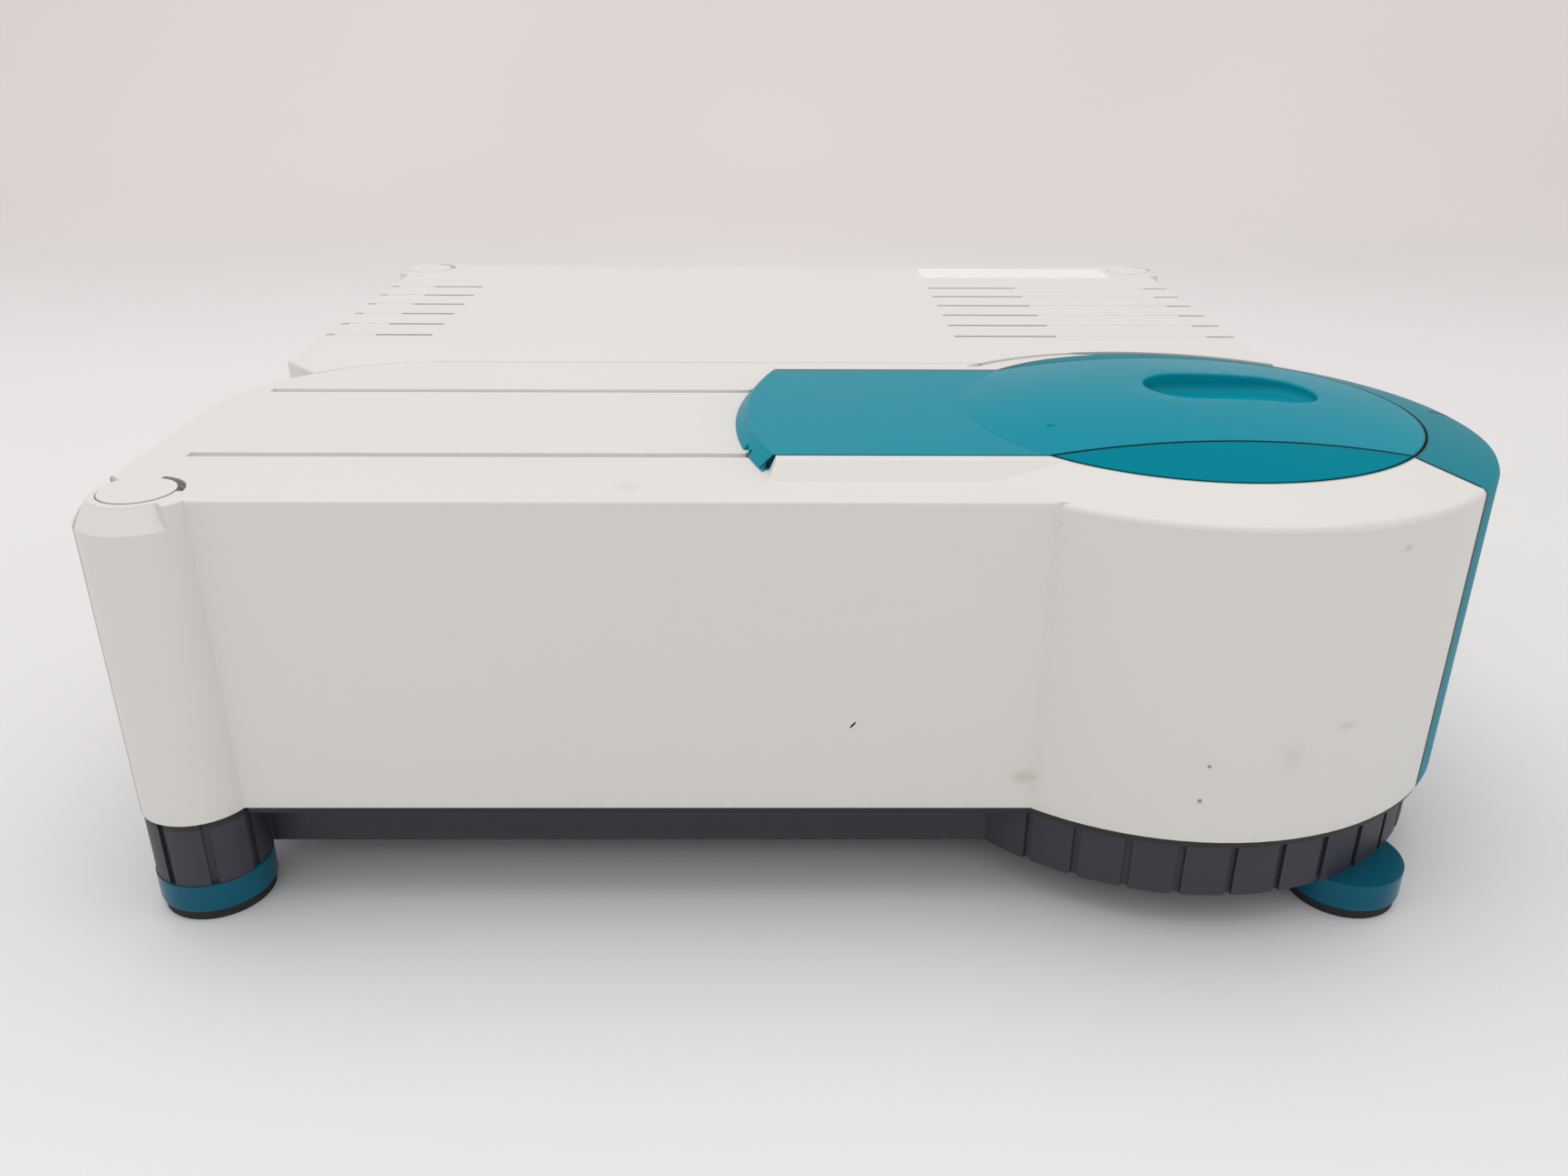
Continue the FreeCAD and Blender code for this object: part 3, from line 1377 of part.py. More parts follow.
def fan():
    """A box fan on the right side wall, behind the louvres."""
    face = "post_span_x/2 + rear_side_outset - wall"
    middle = face + " - fan_depth/2"
    frame = box("fan_box", middle, "fan_y", "fan_height - fan_size/2", "fan_depth", "fan_size", "fan_size")
    duct = cylinder("fan_duct", face + " - fan_depth - 1", "fan_y", "fan_height", "fan_blade_reach + wall/2",
                    "fan_depth + 2", (1, 0, 0))
    spider = [
        box("fan_arm_%s" % name, face + " - fan_arm_thickness/2", "fan_y", "fan_height - (%s)/2" % tall,
            "fan_arm_thickness", wide, tall)
        for name, wide, tall in (("level", "fan_size - wall", "fan_arm_width"),
                                 ("upright", "fan_arm_width", "fan_size - wall"))
    ]
    seat = cylinder("fan_seat", face, "fan_y", "fan_height", "fan_hub_radius/2", "fan_seat_length", (-1, 0, 0))
    bore = cylinder("fan_bore", face + " - fan_arm_thickness/2", "fan_y", "fan_height",
                    "fan_shaft_radius + running_fit", "fan_seat_length", (-1, 0, 0))
    body = joined("fan_body", [cut("fan_ring", frame, [duct]), seat] + spider)
    cut("fan_frame", body, [bore], final=True)
    rotor = doc.addObject("PartDesign::Body", "fan_rotor")
    rotor.Placement = Placement(Vector(), Rotation(Vector(0, 1, 0), -90))
    place(rotor, face + " - fan_seat_length - clearance", "fan_y", "fan_height")
    keep(rotor)
    hub = new_sketch(rotor, "rotor_hub")
    circle(hub, "fan_hub_radius")
    pad(rotor, hub, "fan_depth*0.6")
    blade = new_sketch(rotor, "rotor_blade", "YZ_Plane", lift="fan_hub_radius - 1", y="fan_depth*0.3", turn=35)
    rectangle(blade, "-fan_blade_chord/2", "fan_blade_chord/2", "-fan_blade_thickness/2",
              "fan_blade_thickness/2")
    blades = pad(rotor, blade, "fan_blade_reach - fan_hub_radius + 1")
    polar(rotor, blades, hub, 360, "fan_blade_count", grows=True)
    shaft = new_sketch(rotor, "rotor_shaft")
    circle(shaft, "fan_shaft_radius")
    pad(rotor, shaft, "fan_seat_length - fan_arm_thickness/2", reverse=True)


def connector_panel():
    """The metal panel in the rear wall, with its mains inlet, switch and data port."""
    face = "post_span_y/2 + end_outset"
    inside = face + " - wall"
    plate = box("panel_plate", "panel_x", face + " - wall/2", "panel_low + clearance",
                "panel_length - 2*clearance", "wall", "panel_height - 2*clearance")
    flange = box("panel_flange_plate", "panel_x", inside + " - panel_thickness/2", "panel_low - panel_flange",
                 "panel_length + 2*panel_flange", "panel_thickness", "panel_height + 2*panel_flange")
    holes = [
        box("inlet_hole", "inlet_x", face, "inlet_height - inlet_tall/2 - clearance",
            "inlet_width + 2*clearance", "4*wall", "inlet_tall + 2*clearance"),
        box("switch_hole", "switch_x", face, "inlet_height - switch_tall/2 - clearance",
            "switch_width + 2*clearance", "4*wall", "switch_tall + 2*clearance"),
        box("port_hole", "port_x", face, "inlet_height - port_tall/2 - clearance",
            "port_width + 2*clearance", "4*wall", "port_tall + 2*clearance"),
    ]
    cut("connector_panel", joined("panel_body", [plate, flange]), holes, final=True)
    screws = [
        cylinder("panel_screw_%d_%d" % (i, j), "panel_x + %d*(panel_length/2 - 6)" % i, face,
                 "panel_low + panel_height/2 + %d*(panel_height/2 - 6)" % j, "shaft_radius", "shaft_radius/2",
                 (0, 1, 0))
        for i in (-1, 1) for j in (-1, 1)
    ]
    group("panel_screws", screws)


def mains_inlet():
    """The inlet's body with its socket and pins, and the fuse drawer under them."""
    face = "post_span_y/2 + end_outset"
    front = face + " + bezel_lip"
    core = box("inlet_core", "inlet_x", face + " - inlet_depth/2", "inlet_height - inlet_tall/2",
               "inlet_width", "inlet_depth", "inlet_tall")
    rim = bezel("inlet", "inlet_x", "inlet_width", "inlet_tall")
    socket = box("inlet_socket", "inlet_x", front + " - socket_depth/2",
                 "inlet_height + socket_rise - socket_tall/2", "socket_width", "socket_depth", "socket_tall")
    drawer_low = "inlet_height - drawer_drop - drawer_tall/2"
    slot = box("drawer_slot", "inlet_x", front + " - drawer_depth/2", drawer_low, "drawer_width",
               "drawer_depth", "drawer_tall")
    cut("mains_inlet", joined("inlet_body", [core, rim]), [socket, slot], final=True)
    pins = [
        box("pin_%d" % i, "inlet_x + %d*pin_spacing" % i, front + " - socket_depth + pin_length/2",
            "inlet_height + socket_rise - pin_tall/2 %s pin_stagger" % ("+" if i == 0 else "-"),
            "pin_width", "pin_length", "pin_tall")
        for i in (-1, 0, 1)
    ]
    group("inlet_pins", pins)
    tray = box("drawer_tray", "inlet_x", front + " - drawer_depth/2 + clearance/2",
               drawer_low + " + clearance", "drawer_width - 2*clearance", "drawer_depth - clearance",
               "drawer_tall - 2*clearance")
    neck = box("drawer_neck", "inlet_x", front + " + clearance/2", drawer_low + " + clearance",
               "drawer_width - 2*clearance", "clearance", "drawer_tall - 2*clearance")
    pull = box("drawer_front", "inlet_x", front + " + clearance + bezel_border/2", drawer_low + " - 1",
               "drawer_width + bezel_border", "bezel_border", "drawer_tall + 2")
    well = box("fuse_well", "inlet_x", front + " - drawer_depth/2", "inlet_height - drawer_drop",
               "drawer_width - 2*bezel_border", "drawer_depth - 3*bezel_border", "drawer_tall")
    cut("fuse_drawer", joined("drawer_body", [tray, neck, pull]), [well], final=True)


def bezel(name, x, width, tall):
    """The flat rim of a fitting that stands on the connector panel's face."""
    return box(name + "_rim", x, "post_span_y/2 + end_outset + bezel_lip/2",
               "inlet_height - %s/2 - bezel_border" % tall, width + " + 2*bezel_border", "bezel_lip",
               tall + " + 2*bezel_border")


def power_switch():
    """The switch's frame, and the rocker that tilts in its open well."""
    face = "post_span_y/2 + end_outset"
    core = box("switch_core", "switch_x", face + " - switch_depth/2", "inlet_height - switch_tall/2",
               "switch_width", "switch_depth", "switch_tall")
    rim = bezel("switch", "switch_x", "switch_width", "switch_tall")
    well = box("switch_well", "switch_x", face + " + bezel_lip - switch_depth/2 + 1",
               "inlet_height - switch_tall/2 + switch_bezel/2", "switch_width - switch_bezel",
               "switch_depth - 2", "switch_tall - switch_bezel")
    cut("switch_frame", joined("switch_body", [core, rim]), [well], final=True)
    rocker = new_body("power_rocker", "switch_x", face, "inlet_height")
    side = new_sketch(rocker, "rocker_side", "YZ_Plane", lift="-(switch_width - switch_bezel)/2 + clearance",
                      turn="rocker_lean")
    reach = sizes.switch_tall / 2 - sizes.switch_bezel
    root = sizes.switch_depth / 2 - 1
    proud = sizes.bezel_lip
    polygon(side, [
        (-root, -reach * 0.7),
        (proud, -reach),
        (proud + sizes.rocker_rise, -reach),
        (proud + sizes.rocker_dip, 0),
        (proud + sizes.rocker_rise, reach),
        (proud, reach),
        (-root, reach * 0.7),
    ])
    pad(rocker, side, "switch_width - switch_bezel - 2*clearance")


def data_port():
    """A data socket's body and the flat shell that frames it."""
    face = "post_span_y/2 + end_outset"
    core = box("port_core", "port_x", face + " + wall - port_depth/2 - bezel_lip/2", "inlet_height - port_tall/2",
               "port_width", "port_depth + wall", "port_tall")
    shell = box("port_rim", "port_x", face + " + 0.5", "inlet_height - port_tall/2 - bezel_border",
                "port_width + 2*port_ear", 1, "port_tall + 2*bezel_border")
    joined("data_port", [core, shell], final=True)


def export():
    """Check every object, then write each sub-part to its own file."""
    doc.recompute()
    for thing in doc.Objects:
        if "Invalid" in thing.State or "Error" in thing.State:
            raise RuntimeError("%s is %s" % (thing.Name, thing.State))
    os.makedirs("parts", exist_ok=True)
    for thing in nodes:
        if thing.Shape.isNull() or not thing.Shape.isValid():
            raise RuntimeError("%s has no valid shape" % thing.Label)
        thing.Shape.exportStep("parts/%s.step" % thing.Label)


front_cover()
rear_cover()
lid()
crescent("front_crescent", -1)
crescent("rear_crescent", 1)
compartment_panel()
for place_name, sides in POSTS.items():
    corner_cap(place_name, *sides)
base_tray()
foot_screws = new_body("foot_screws")
foot_pads = new_body("foot_pads")
for fastened in (foot_screws, foot_pads):
    fastened.AllowCompound = True
for place_name, sides in FEET.items():
    foot(place_name, *sides)
compartment_tub()
seal_and_windows()
cell_holder()
lid_runners()
optical_bench()
monochromator()
grating_drive()
filter_drive()
lamp()
detectors()
power_supply()
main_board()
fan()
connector_panel()
mains_inlet()
power_switch()
data_port()
export()
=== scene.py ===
"""Dress a bench spectrophotometer: moulded covers, sliding lid, rear fittings, stage and camera.

Metres, +Z up. The camera stands on the -Y side, and the sample compartment is at +X.
"""
import math

import bpy
from bpy.props import FloatProperty, FloatVectorProperty, IntProperty, PointerProperty
from mathutils import Matrix, Vector


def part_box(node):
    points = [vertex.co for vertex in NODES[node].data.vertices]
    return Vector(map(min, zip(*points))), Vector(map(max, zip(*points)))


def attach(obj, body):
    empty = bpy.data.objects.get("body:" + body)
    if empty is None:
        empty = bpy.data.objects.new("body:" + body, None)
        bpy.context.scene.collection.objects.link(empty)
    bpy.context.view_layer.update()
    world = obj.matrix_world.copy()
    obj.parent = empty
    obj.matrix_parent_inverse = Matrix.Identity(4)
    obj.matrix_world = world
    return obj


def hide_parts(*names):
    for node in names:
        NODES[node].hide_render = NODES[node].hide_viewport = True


bl_info = {
    "name": "Spectrophotometer dressing",
    "version": (1, 0, 0),
    "blender": (4, 5, 0),
    "location": "View3D > Sidebar > Instrument",
    "description": "Finishes, small fittings and stage for a bench spectrophotometer",
    "category": "Object",
}

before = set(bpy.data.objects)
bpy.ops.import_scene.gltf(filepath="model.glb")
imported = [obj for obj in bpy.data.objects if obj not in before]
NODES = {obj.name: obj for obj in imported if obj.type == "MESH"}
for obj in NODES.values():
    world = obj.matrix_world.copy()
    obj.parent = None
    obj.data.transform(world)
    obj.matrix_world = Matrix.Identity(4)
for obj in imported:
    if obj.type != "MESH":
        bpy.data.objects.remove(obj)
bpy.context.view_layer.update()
MM = 0.001

FRONT_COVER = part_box("front_cover")
REAR_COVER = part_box("rear_cover")
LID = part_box("lid")
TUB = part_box("compartment_tub")
COVER_TOP = REAR_COVER[1].z
COVER_BOTTOM = FRONT_COVER[0].z
CROWN_TOP = FRONT_COVER[1].z
COMPARTMENT = (TUB[0] + TUB[1]) / 2
BULGE_RADIUS = COMPARTMENT.y - FRONT_COVER[0].y
WELL_RADIUS = LID[1].x - COMPARTMENT.x + 0.6 * MM
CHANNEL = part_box("rear_crescent")[0].y - COMPARTMENT.y
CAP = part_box("corner_cap_front_left")
FACING_REAR = (math.radians(-90), 0.0, 0.0)

# How far the strips reach into the tongue's gap, and how far a cutter goes past what it cuts

TONGUE_GAP = 0.1 * MM
THROUGH = 5 * MM

# Joints, in the row frame: each painted crown line has its angle and where it starts

JOINT_BLACK = (0.006, 0.007, 0.008)
JOINT_STRENGTH = 0.97
JOINT_REACH = 1.4 * MM
JOINT_INSET = 0.3 * MM
CROWN_LINE_REACH = 1.9 * MM
CROWN_LINES = (
    (math.radians(-42.8), WELL_RADIUS),
    (math.radians(100), WELL_RADIUS),
    (math.radians(5), 112.5 * MM),
)
WHITE_CROWN_END = (math.radians(137.1), math.radians(148.5))
SEAM_TURN = (-188 * MM, -113.5 * MM)
SEAM_RADIUS = 88.3 * MM
SEAM_REACH = 1 * MM
SEAM_STRENGTH = 0.7
CAP_LINE = 14.1 * MM
CAP_LINE_REACH = 0.5 * MM
CAP_LINE_STRENGTH = 0.63
PRY_SLOT = 15.4 * MM
PRY_SLOT_REACH = 2.4 * MM
PRY_SLOT_STRENGTH = 0.9

# Small marks, in the row frame: each stain has its place and size in millimetres, tint and strength

BULGE_JOINT = 83.1 * MM
FRONT_FACE = -227.2 * MM
SCUFF_CENTRE = (9.6 * MM, FRONT_FACE, 86.0 * MM)
SCUFF_SIZE = (2.1 * MM, 3 * MM, 0.55 * MM)
SCUFF_LEAN = math.radians(50)
BLISTER = (91.2 * MM, -164.2 * MM, 190.1 * MM)
BLISTER_SIZE = (1.7 * MM, 1.7 * MM, 0.7 * MM)
PALE_TEAL = (0.06, 0.42, 0.47)
RUST = (0.20, 0.12, 0.05)
YELLOW = (0.52, 0.45, 0.30)
STAINS = (
    ((144.3, -250.9, 81.6), (1.1, 2, 1.1), RUST, 0.9),
    ((142.8, -250.7, 65.9), (1.4, 2, 1.4), RUST, 0.9),
    ((175.9, -250.1, 85.2), (6, 5, 9), YELLOW, 0.20),
    ((196.8, -245.0, 96.1), (5, 5, 2.2), RUST, 0.16),
    ((207.4, -240.8, 167.8), (3, 3, 2), YELLOW, 0.5),
    ((79.5, -227.2, 62.0), (7, 3, 5), YELLOW, 0.5),
    ((-76.7, -211.0, 180.0), (7, 7, 3), YELLOW, 0.20),
)

# Where each vent row keeps a shallow trace, is closed and is open, along the length

VENT_TRACED = ((-262.9 * MM, -240.3 * MM), (133.6 * MM, 216.6 * MM))
VENT_FILLED = ((-209.3 * MM, -197.4 * MM),)
VENT_OPEN = ((-240.3 * MM, -237.5 * MM), (77.4 * MM, 85.5 * MM), (216.6 * MM, 225.0 * MM))


# Settings


def colour(name, description, value):
    return FloatVectorProperty(name=name, description=description, subtype="COLOR", size=3, min=0, max=1,
                               default=value)


def length(name, description, millimetres):
    return FloatProperty(name=name, description=description, unit="LENGTH", min=0, default=millimetres * MM)


def turn(name, description, degrees):
    return FloatProperty(name=name, description=description, subtype="ANGLE", default=math.radians(degrees))


def count(name, description, least, value):
    return IntProperty(name=name, description=description, min=least, default=value)


class FinishSettings(bpy.types.PropertyGroup):
    cover_white: colour("Cover white", "Moulded covers and corner caps", (0.735, 0.717, 0.680))
    # The lid's teal is a lighter copy of the crescents' teal of the same moulding: a painted sheen for the
    # light that the tongue reflects.
    lid_teal_painted_sheen: colour("Lid teal with painted sheen", "Sliding lid with its dome and tongue", (0.0005, 0.255, 0.338))
    crescent_teal: colour("Crescent teal", "Fixed crescents beside the lid", (0.0005, 0.215, 0.285))
    panel_teal: colour("Panel teal", "Crown and wall at the compartment's end", (0.0005, 0.210, 0.275))
    foot_teal: colour("Foot teal", "Glossy rings under the posts", (0.001, 0.098, 0.160))
    base_grey: colour("Base grey", "Ribbed base moulding", (0.031, 0.032, 0.046))
    # The rubber's colour also paints the shadow on the base's deck edge under the covers.
    rubber: colour("Rubber", "Pads and the lid's seal", (0.012, 0.012, 0.013))
    black: colour("Black plastic", "Inner mouldings and fittings", (0.018, 0.018, 0.020))
    grime: colour("Grime", "Dirt in joints and corners", (0.300, 0.225, 0.120))
    slot_brown: colour("Slot brown", "Old dirt round the front left cap", (0.050, 0.028, 0.012))
    label_white: colour("Label white", "Blank label on the rear cover", (0.86, 0.86, 0.855))


class PieceSettings(bpy.types.PropertyGroup):
    label_length: length("Label length", "Along the rear edge", 126)
    label_width: length("Label width", "From front to back", 33)
    label_thickness: length("Label thickness", "Film and glue", 0.18)
    label_margin: length("Label margin", "Gap to the corner cap", 5)
    head_radius: length("Screw head radius", "Screws of the connector panel", 3)
    head_height: length("Screw head height", "Screws of the connector panel", 1.9)
    socket_proud: length("Socket height", "How far the data socket's collar stands out", 5)
    pin_pitch: length("Pin pitch", "Between pins of one row", 2.75)
    pins_wide: count("Pins", "Pins in the socket's long row", 2, 8)
    knob_flutes: count("Knob flutes", "Grooves round each adjusting knob", 6, 20)
    crown_split: turn("Crown split", "Where the crown turns from teal to white", 100)
    crown_joint: length("Crown joint", "Gap between the teal and the white crown", 0.8)
    strip_width: length("Strip width", "Raised strips beside the tongue", 12.75)
    strip_flat: length("Strip flat", "Level part of each strip, beside the tongue", 6.5)
    strip_setback: length("Strip setback", "From the lid's nose to the strips", 17)
    strip_slope: length("Strip end slope", "How far each strip's left end leans", 3)
    nose_radius: length("Nose radius", "From the compartment's axis to the lid's nose", 195.7)
    nose_bevel: length("Nose bevel", "How far the nose leans back to the top", 5.5)
    ear_length: length("Ear length", "Each ear of the nose, along the tongue", 12.6)
    ear_reach: length("Ear reach", "How far each ear stands out beside the tongue", 7.8)
    ear_gusset: length("Ear gusset", "Bevel where each ear meets the tongue", 2)
    notch_reach: length("Notch reach", "Each notch over a groove, from the nose", 6.7)
    notch_in: length("Notch inner side", "From the tongue's middle", 40)
    notch_out: length("Notch outer side", "From the tongue's middle", 47.2)
    vent_width: length("Vent width", "Each slot of the rear cover", 3.2)
    vent_pitch: length("Vent pitch", "Between rows of slots", 26.6)
    vent_first: length("First vent row", "From the middle to the front row", 32.5)
    vent_rows: count("Vent rows", "Rows on each side", 1, 6)
    vent_trace: length("Vent trace", "Depth of the shallow marks between the openings", 0.15)


class StageSettings(bpy.types.PropertyGroup):
    table_white: colour("Table", "Pale table top", (0.80, 0.79, 0.785))
    wall_grey: colour("Wall", "Pale wall behind the table", (0.80, 0.745, 0.72))
    sky_light: FloatProperty(name="Room light", description="Even light from all round", min=0, default=0.84)
    key_power: FloatProperty(name="Key light", description="Large soft light overhead", min=0, default=12.5,
                             unit="POWER")
    camera_place: FloatVectorProperty(name="Camera", description="Where the camera stands", subtype="XYZ",
                                      unit="LENGTH", default=(-0.02171, -0.6656, 0.3442))
    camera_pitch: turn("Pitch", "Downward tilt", 24.387)
    camera_yaw: turn("Yaw", "Turn to the left", -0.494)
    camera_roll: turn("Roll", "Lean to the left", 0.276)
    camera_lens: FloatProperty(name="Lens", description="Focal length in millimetres on a 36 mm sensor",
                               default=29.375)


# Node trees


class Tree:
    """A node tree, with short ways to add and join its nodes."""

    def __init__(self, tree):
        self.tree = tree

    def add(self, kind, **values):
        node = self.tree.nodes.new(kind)
        for name, value in values.items():
            setattr(node, name, value)
        return node

    def feed(self, socket, value):
        """Link an output into a socket, or set the socket to a plain value."""
        if isinstance(value, bpy.types.NodeSocket):
            self.tree.links.new(value, socket)
        else:
            socket.default_value = value

    def math(self, operation, first, *others):
        """Join values by one operation, two at a time, or apply it to a single value."""
        for other in others or (0.0,):
            node = self.add("ShaderNodeMath", operation=operation)
            self.feed(node.inputs[0], first)
            self.feed(node.inputs[1], other)
            first = node.outputs[0]
        return first

    def products(self, first, second, third, fourth):
        """The sum of two products."""
        return self.math("ADD", self.math("MULTIPLY", first, second), self.math("MULTIPLY", third, fourth))

    def distance(self, across, along):
        return self.math("SQRT", self.products(across, across, along, along))

    def ramp(self, value, low, high, start=0.0, end=1.0):
        """Map a value smoothly from one range to another."""
        node = self.add("ShaderNodeMapRange", interpolation_type="SMOOTHSTEP")
        for index, given in enumerate((value, low, high, start, end)):
            self.feed(node.inputs[index], given)
        return node.outputs[0]

    def noise(self, scale, detail=2.0, roughness=0.5, vector=None):
        node = self.add("ShaderNodeTexNoise")
        self.feed(node.inputs["Vector"], vector or self.place())
        self.feed(node.inputs["Scale"], scale)
        node.inputs["Detail"].default_value = detail
        node.inputs["Roughness"].default_value = roughness
        return node.outputs["Fac"]

    def place(self):
        """The point's own place on the object."""
        return self.add("ShaderNodeTexCoord").outputs["Object"]

    def placed(self, kind, **values):
        """A node that starts from the point's own place."""
        node = self.add(kind, **values)
        self.feed(node.inputs["Vector"], self.place())
        return node

    def mix(self, factor, first, second):
        node = self.add("ShaderNodeMix", data_type="RGBA")
        self.feed(node.inputs["Factor"], factor)
        for socket, value in ((node.inputs[6], first), (node.inputs[7], second)):
            self.feed(socket, tuple(value) + (1.0,) if not isinstance(value, bpy.types.NodeSocket) else value)
        return node.outputs[2]

    def group(self, name, **values):
        node = self.add("ShaderNodeGroup", node_tree=bpy.data.node_groups[name])
        for key, value in values.items():
            self.feed(node.inputs[key], value)
        return node

    def band(self, value, centre, reach):
        """A soft band round one value, as beside a joint."""
        return self.group("Band", Value=value, Centre=centre, Reach=reach).outputs["Mask"]


def new_group(name, inputs, outputs):
    """An empty shader group with named sockets, and its input and output nodes."""
    tree = bpy.data.node_groups.new(name, "ShaderNodeTree")
    for label, kind, value in inputs:
        socket = tree.interface.new_socket(label, in_out="INPUT", socket_type="NodeSocket" + kind)
        socket.default_value = value
    for label, kind in outputs:
        tree.interface.new_socket(label, in_out="OUTPUT", socket_type="NodeSocket" + kind)
    made = Tree(tree)
    return made, made.add("NodeGroupInput").outputs, made.add("NodeGroupOutput").inputs


def grain_group():
    """The fine spark texture of a mould, with slow waves from cooling."""
    tree, given, out = new_group("Moulded grain", [("Scale", "Float", 1600.0), ("Waves", "Float", 0.3)],
                                 [("Height", "Float"), ("Cloud", "Float")])
    fine = tree.noise(given["Scale"], 3.0, 0.6)
    slow = tree.noise(tree.math("MULTIPLY", given["Scale"], 0.02), 1.0)
    tree.feed(out["Height"], tree.math("ADD", fine, tree.math("MULTIPLY", slow, given["Waves"])))
    tree.feed(out["Cloud"], tree.noise(7.0, 4.0, 0.55))


def band_group():
    """A mask that fades out on both sides of one value."""
    tree, given, out = new_group("Band", [("Value", "Float", 0.0), ("Centre", "Float", 0.0),
                                          ("Reach", "Float", 0.01)], [("Mask", "Float")])
    away = tree.math("ABSOLUTE", tree.math("SUBTRACT", given["Value"], given["Centre"]))
    tree.feed(out["Mask"], tree.ramp(tree.math("DIVIDE", away, given["Reach"]), 0.0, 1.0, 1.0, 0.0))


def spot_group():
    """A soft oval mark round one point, with a ragged edge."""
    tree, given, out = new_group("Spot", [("Centre", "Vector", (0, 0, 0)), ("Turn", "Vector", (0, 0, 0)),
                                          ("Size", "Vector", (0.01, 0.01, 0.01)), ("Ragged", "Float", 0.3)],
                                 [("Mask", "Float"), ("Share", "Float")])
    mapping = tree.placed("ShaderNodeMapping", vector_type="TEXTURE")
    tree.feed(mapping.inputs["Location"], given["Centre"])
    tree.feed(mapping.inputs["Rotation"], given["Turn"])
    tree.feed(mapping.inputs["Scale"], given["Size"])
    length_node = tree.add("ShaderNodeVectorMath", operation="LENGTH")
    tree.feed(length_node.inputs[0], mapping.outputs[0])
    rough = tree.math("MULTIPLY", tree.math("SUBTRACT", tree.noise(900.0, 3.0, 0.7), 0.5), given["Ragged"])
    share = tree.math("ADD", length_node.outputs["Value"], rough)
    tree.feed(out["Mask"], tree.ramp(share, 0.7, 1.0, 1.0, 0.0))
    tree.feed(out["Share"], share)


def joint_group():
    """Dark lines in the gaps round the lid, the crown, the strips and between the covers."""
    tree, _, out = new_group("Joint lines", [], [("Mask", "Float")])
    x, y, z = axes(tree)
    across, along, distance = offsets(tree, x, y, COMPARTMENT)
    beside = tree.math("ABSOLUTE", along)
    off_tongue = tree.math("MAXIMUM", tree.math("GREATER_THAN", across, 0.0),
                           tree.math("GREATER_THAN", beside, CHANNEL - 0.7 * MM))
    beside_lid = tree.math("MAXIMUM", tree.math("LESS_THAN", distance, WELL_RADIUS),
                           tree.math("LESS_THAN", across, -0.5 * WELL_RADIUS))
    ring = tree.math("MULTIPLY", tree.band(distance, WELL_RADIUS - JOINT_INSET, JOINT_REACH), off_tongue)
    slide = tree.math("MULTIPLY", tree.band(beside, CHANNEL - JOINT_INSET, JOINT_REACH), beside_lid)
    mask = tree.math("MULTIPLY", tree.math("MAXIMUM", ring, slide),
                     tree.math("GREATER_THAN", z, COVER_TOP + 0.6 * MM))
    rim = BULGE_RADIUS + 0.4 * MM
    for angle, start in CROWN_LINES:
        aside = tree.products(along, math.cos(angle), across, -math.sin(angle))
        ahead = tree.products(across, math.cos(angle), along, math.sin(angle))
        line = tree.math("MULTIPLY", tree.band(aside, 0.0, CROWN_LINE_REACH),
                         tree.math("GREATER_THAN", ahead, start), tree.math("LESS_THAN", distance, rim))
        mask = tree.math("MAXIMUM", mask, line)
    back = tree.math("MINIMUM", tree.math("SUBTRACT", x, SEAM_TURN[0]), 0.0)
    rear = tree.math("MAXIMUM", tree.math("SUBTRACT", y, SEAM_TURN[1]), 0.0)
    seam = tree.math("MULTIPLY", tree.band(tree.distance(back, rear), SEAM_RADIUS, SEAM_REACH),
                     tree.math("GREATER_THAN", distance, rim),
                     tree.math("LESS_THAN", x, COMPARTMENT.x), SEAM_STRENGTH)
    tree.feed(out["Mask"], tree.math("MAXIMUM", mask, seam))


def speck_group():
    """Sparse dark specks of dust, each in its own cell."""
    tree, given, out = new_group("Specks", [("Scale", "Float", 60.0), ("Radius", "Float", 0.05),
                                            ("Density", "Float", 0.3)], [("Mask", "Float")])
    cells = tree.placed("ShaderNodeTexVoronoi")
    tree.feed(cells.inputs["Scale"], given["Scale"])
    dot = tree.ramp(tree.math("DIVIDE", cells.outputs["Distance"], given["Radius"]), 0.6, 1.0, 1.0, 0.0)
    share = tree.add("ShaderNodeSeparateColor")
    tree.feed(share.inputs[0], cells.outputs["Color"])
    chosen = tree.math("LESS_THAN", share.outputs[0], given["Density"])
    tree.feed(out["Mask"], tree.math("MULTIPLY", dot, chosen))


def new_material(name, roughness, metallic=0.0):
    """A material with a plain shader, its tree and the shader's sockets."""
    made = bpy.data.materials.new(name)
    made.use_nodes = True
    tree = Tree(made.node_tree)
    shader = next(node for node in made.node_tree.nodes if node.type == "BSDF_PRINCIPLED")
    shader.inputs["Roughness"].default_value = roughness
    shader.inputs["Metallic"].default_value = metallic
    return made, tree, shader.inputs


def bump(tree, sockets, height, strength, distance):
    node = tree.add("ShaderNodeBump")
    node.inputs["Strength"].default_value = strength
    node.inputs["Distance"].default_value = distance
    tree.feed(node.inputs["Height"], height)
    tree.feed(sockets["Normal"], node.outputs["Normal"])


def axes(tree):
    """The three coordinates of the point's own place."""
    return tree.placed("ShaderNodeSeparateXYZ").outputs


def offsets(tree, x, y, centre):
    """How far the point lies from an upright axis: across, along and straight."""
    across = tree.math("SUBTRACT", x, centre.x)
    along = tree.math("SUBTRACT", y, centre.y)
    return across, along, tree.distance(across, along)


def shade(base, factor):
    return tuple(channel * factor for channel in base)


# Plastics


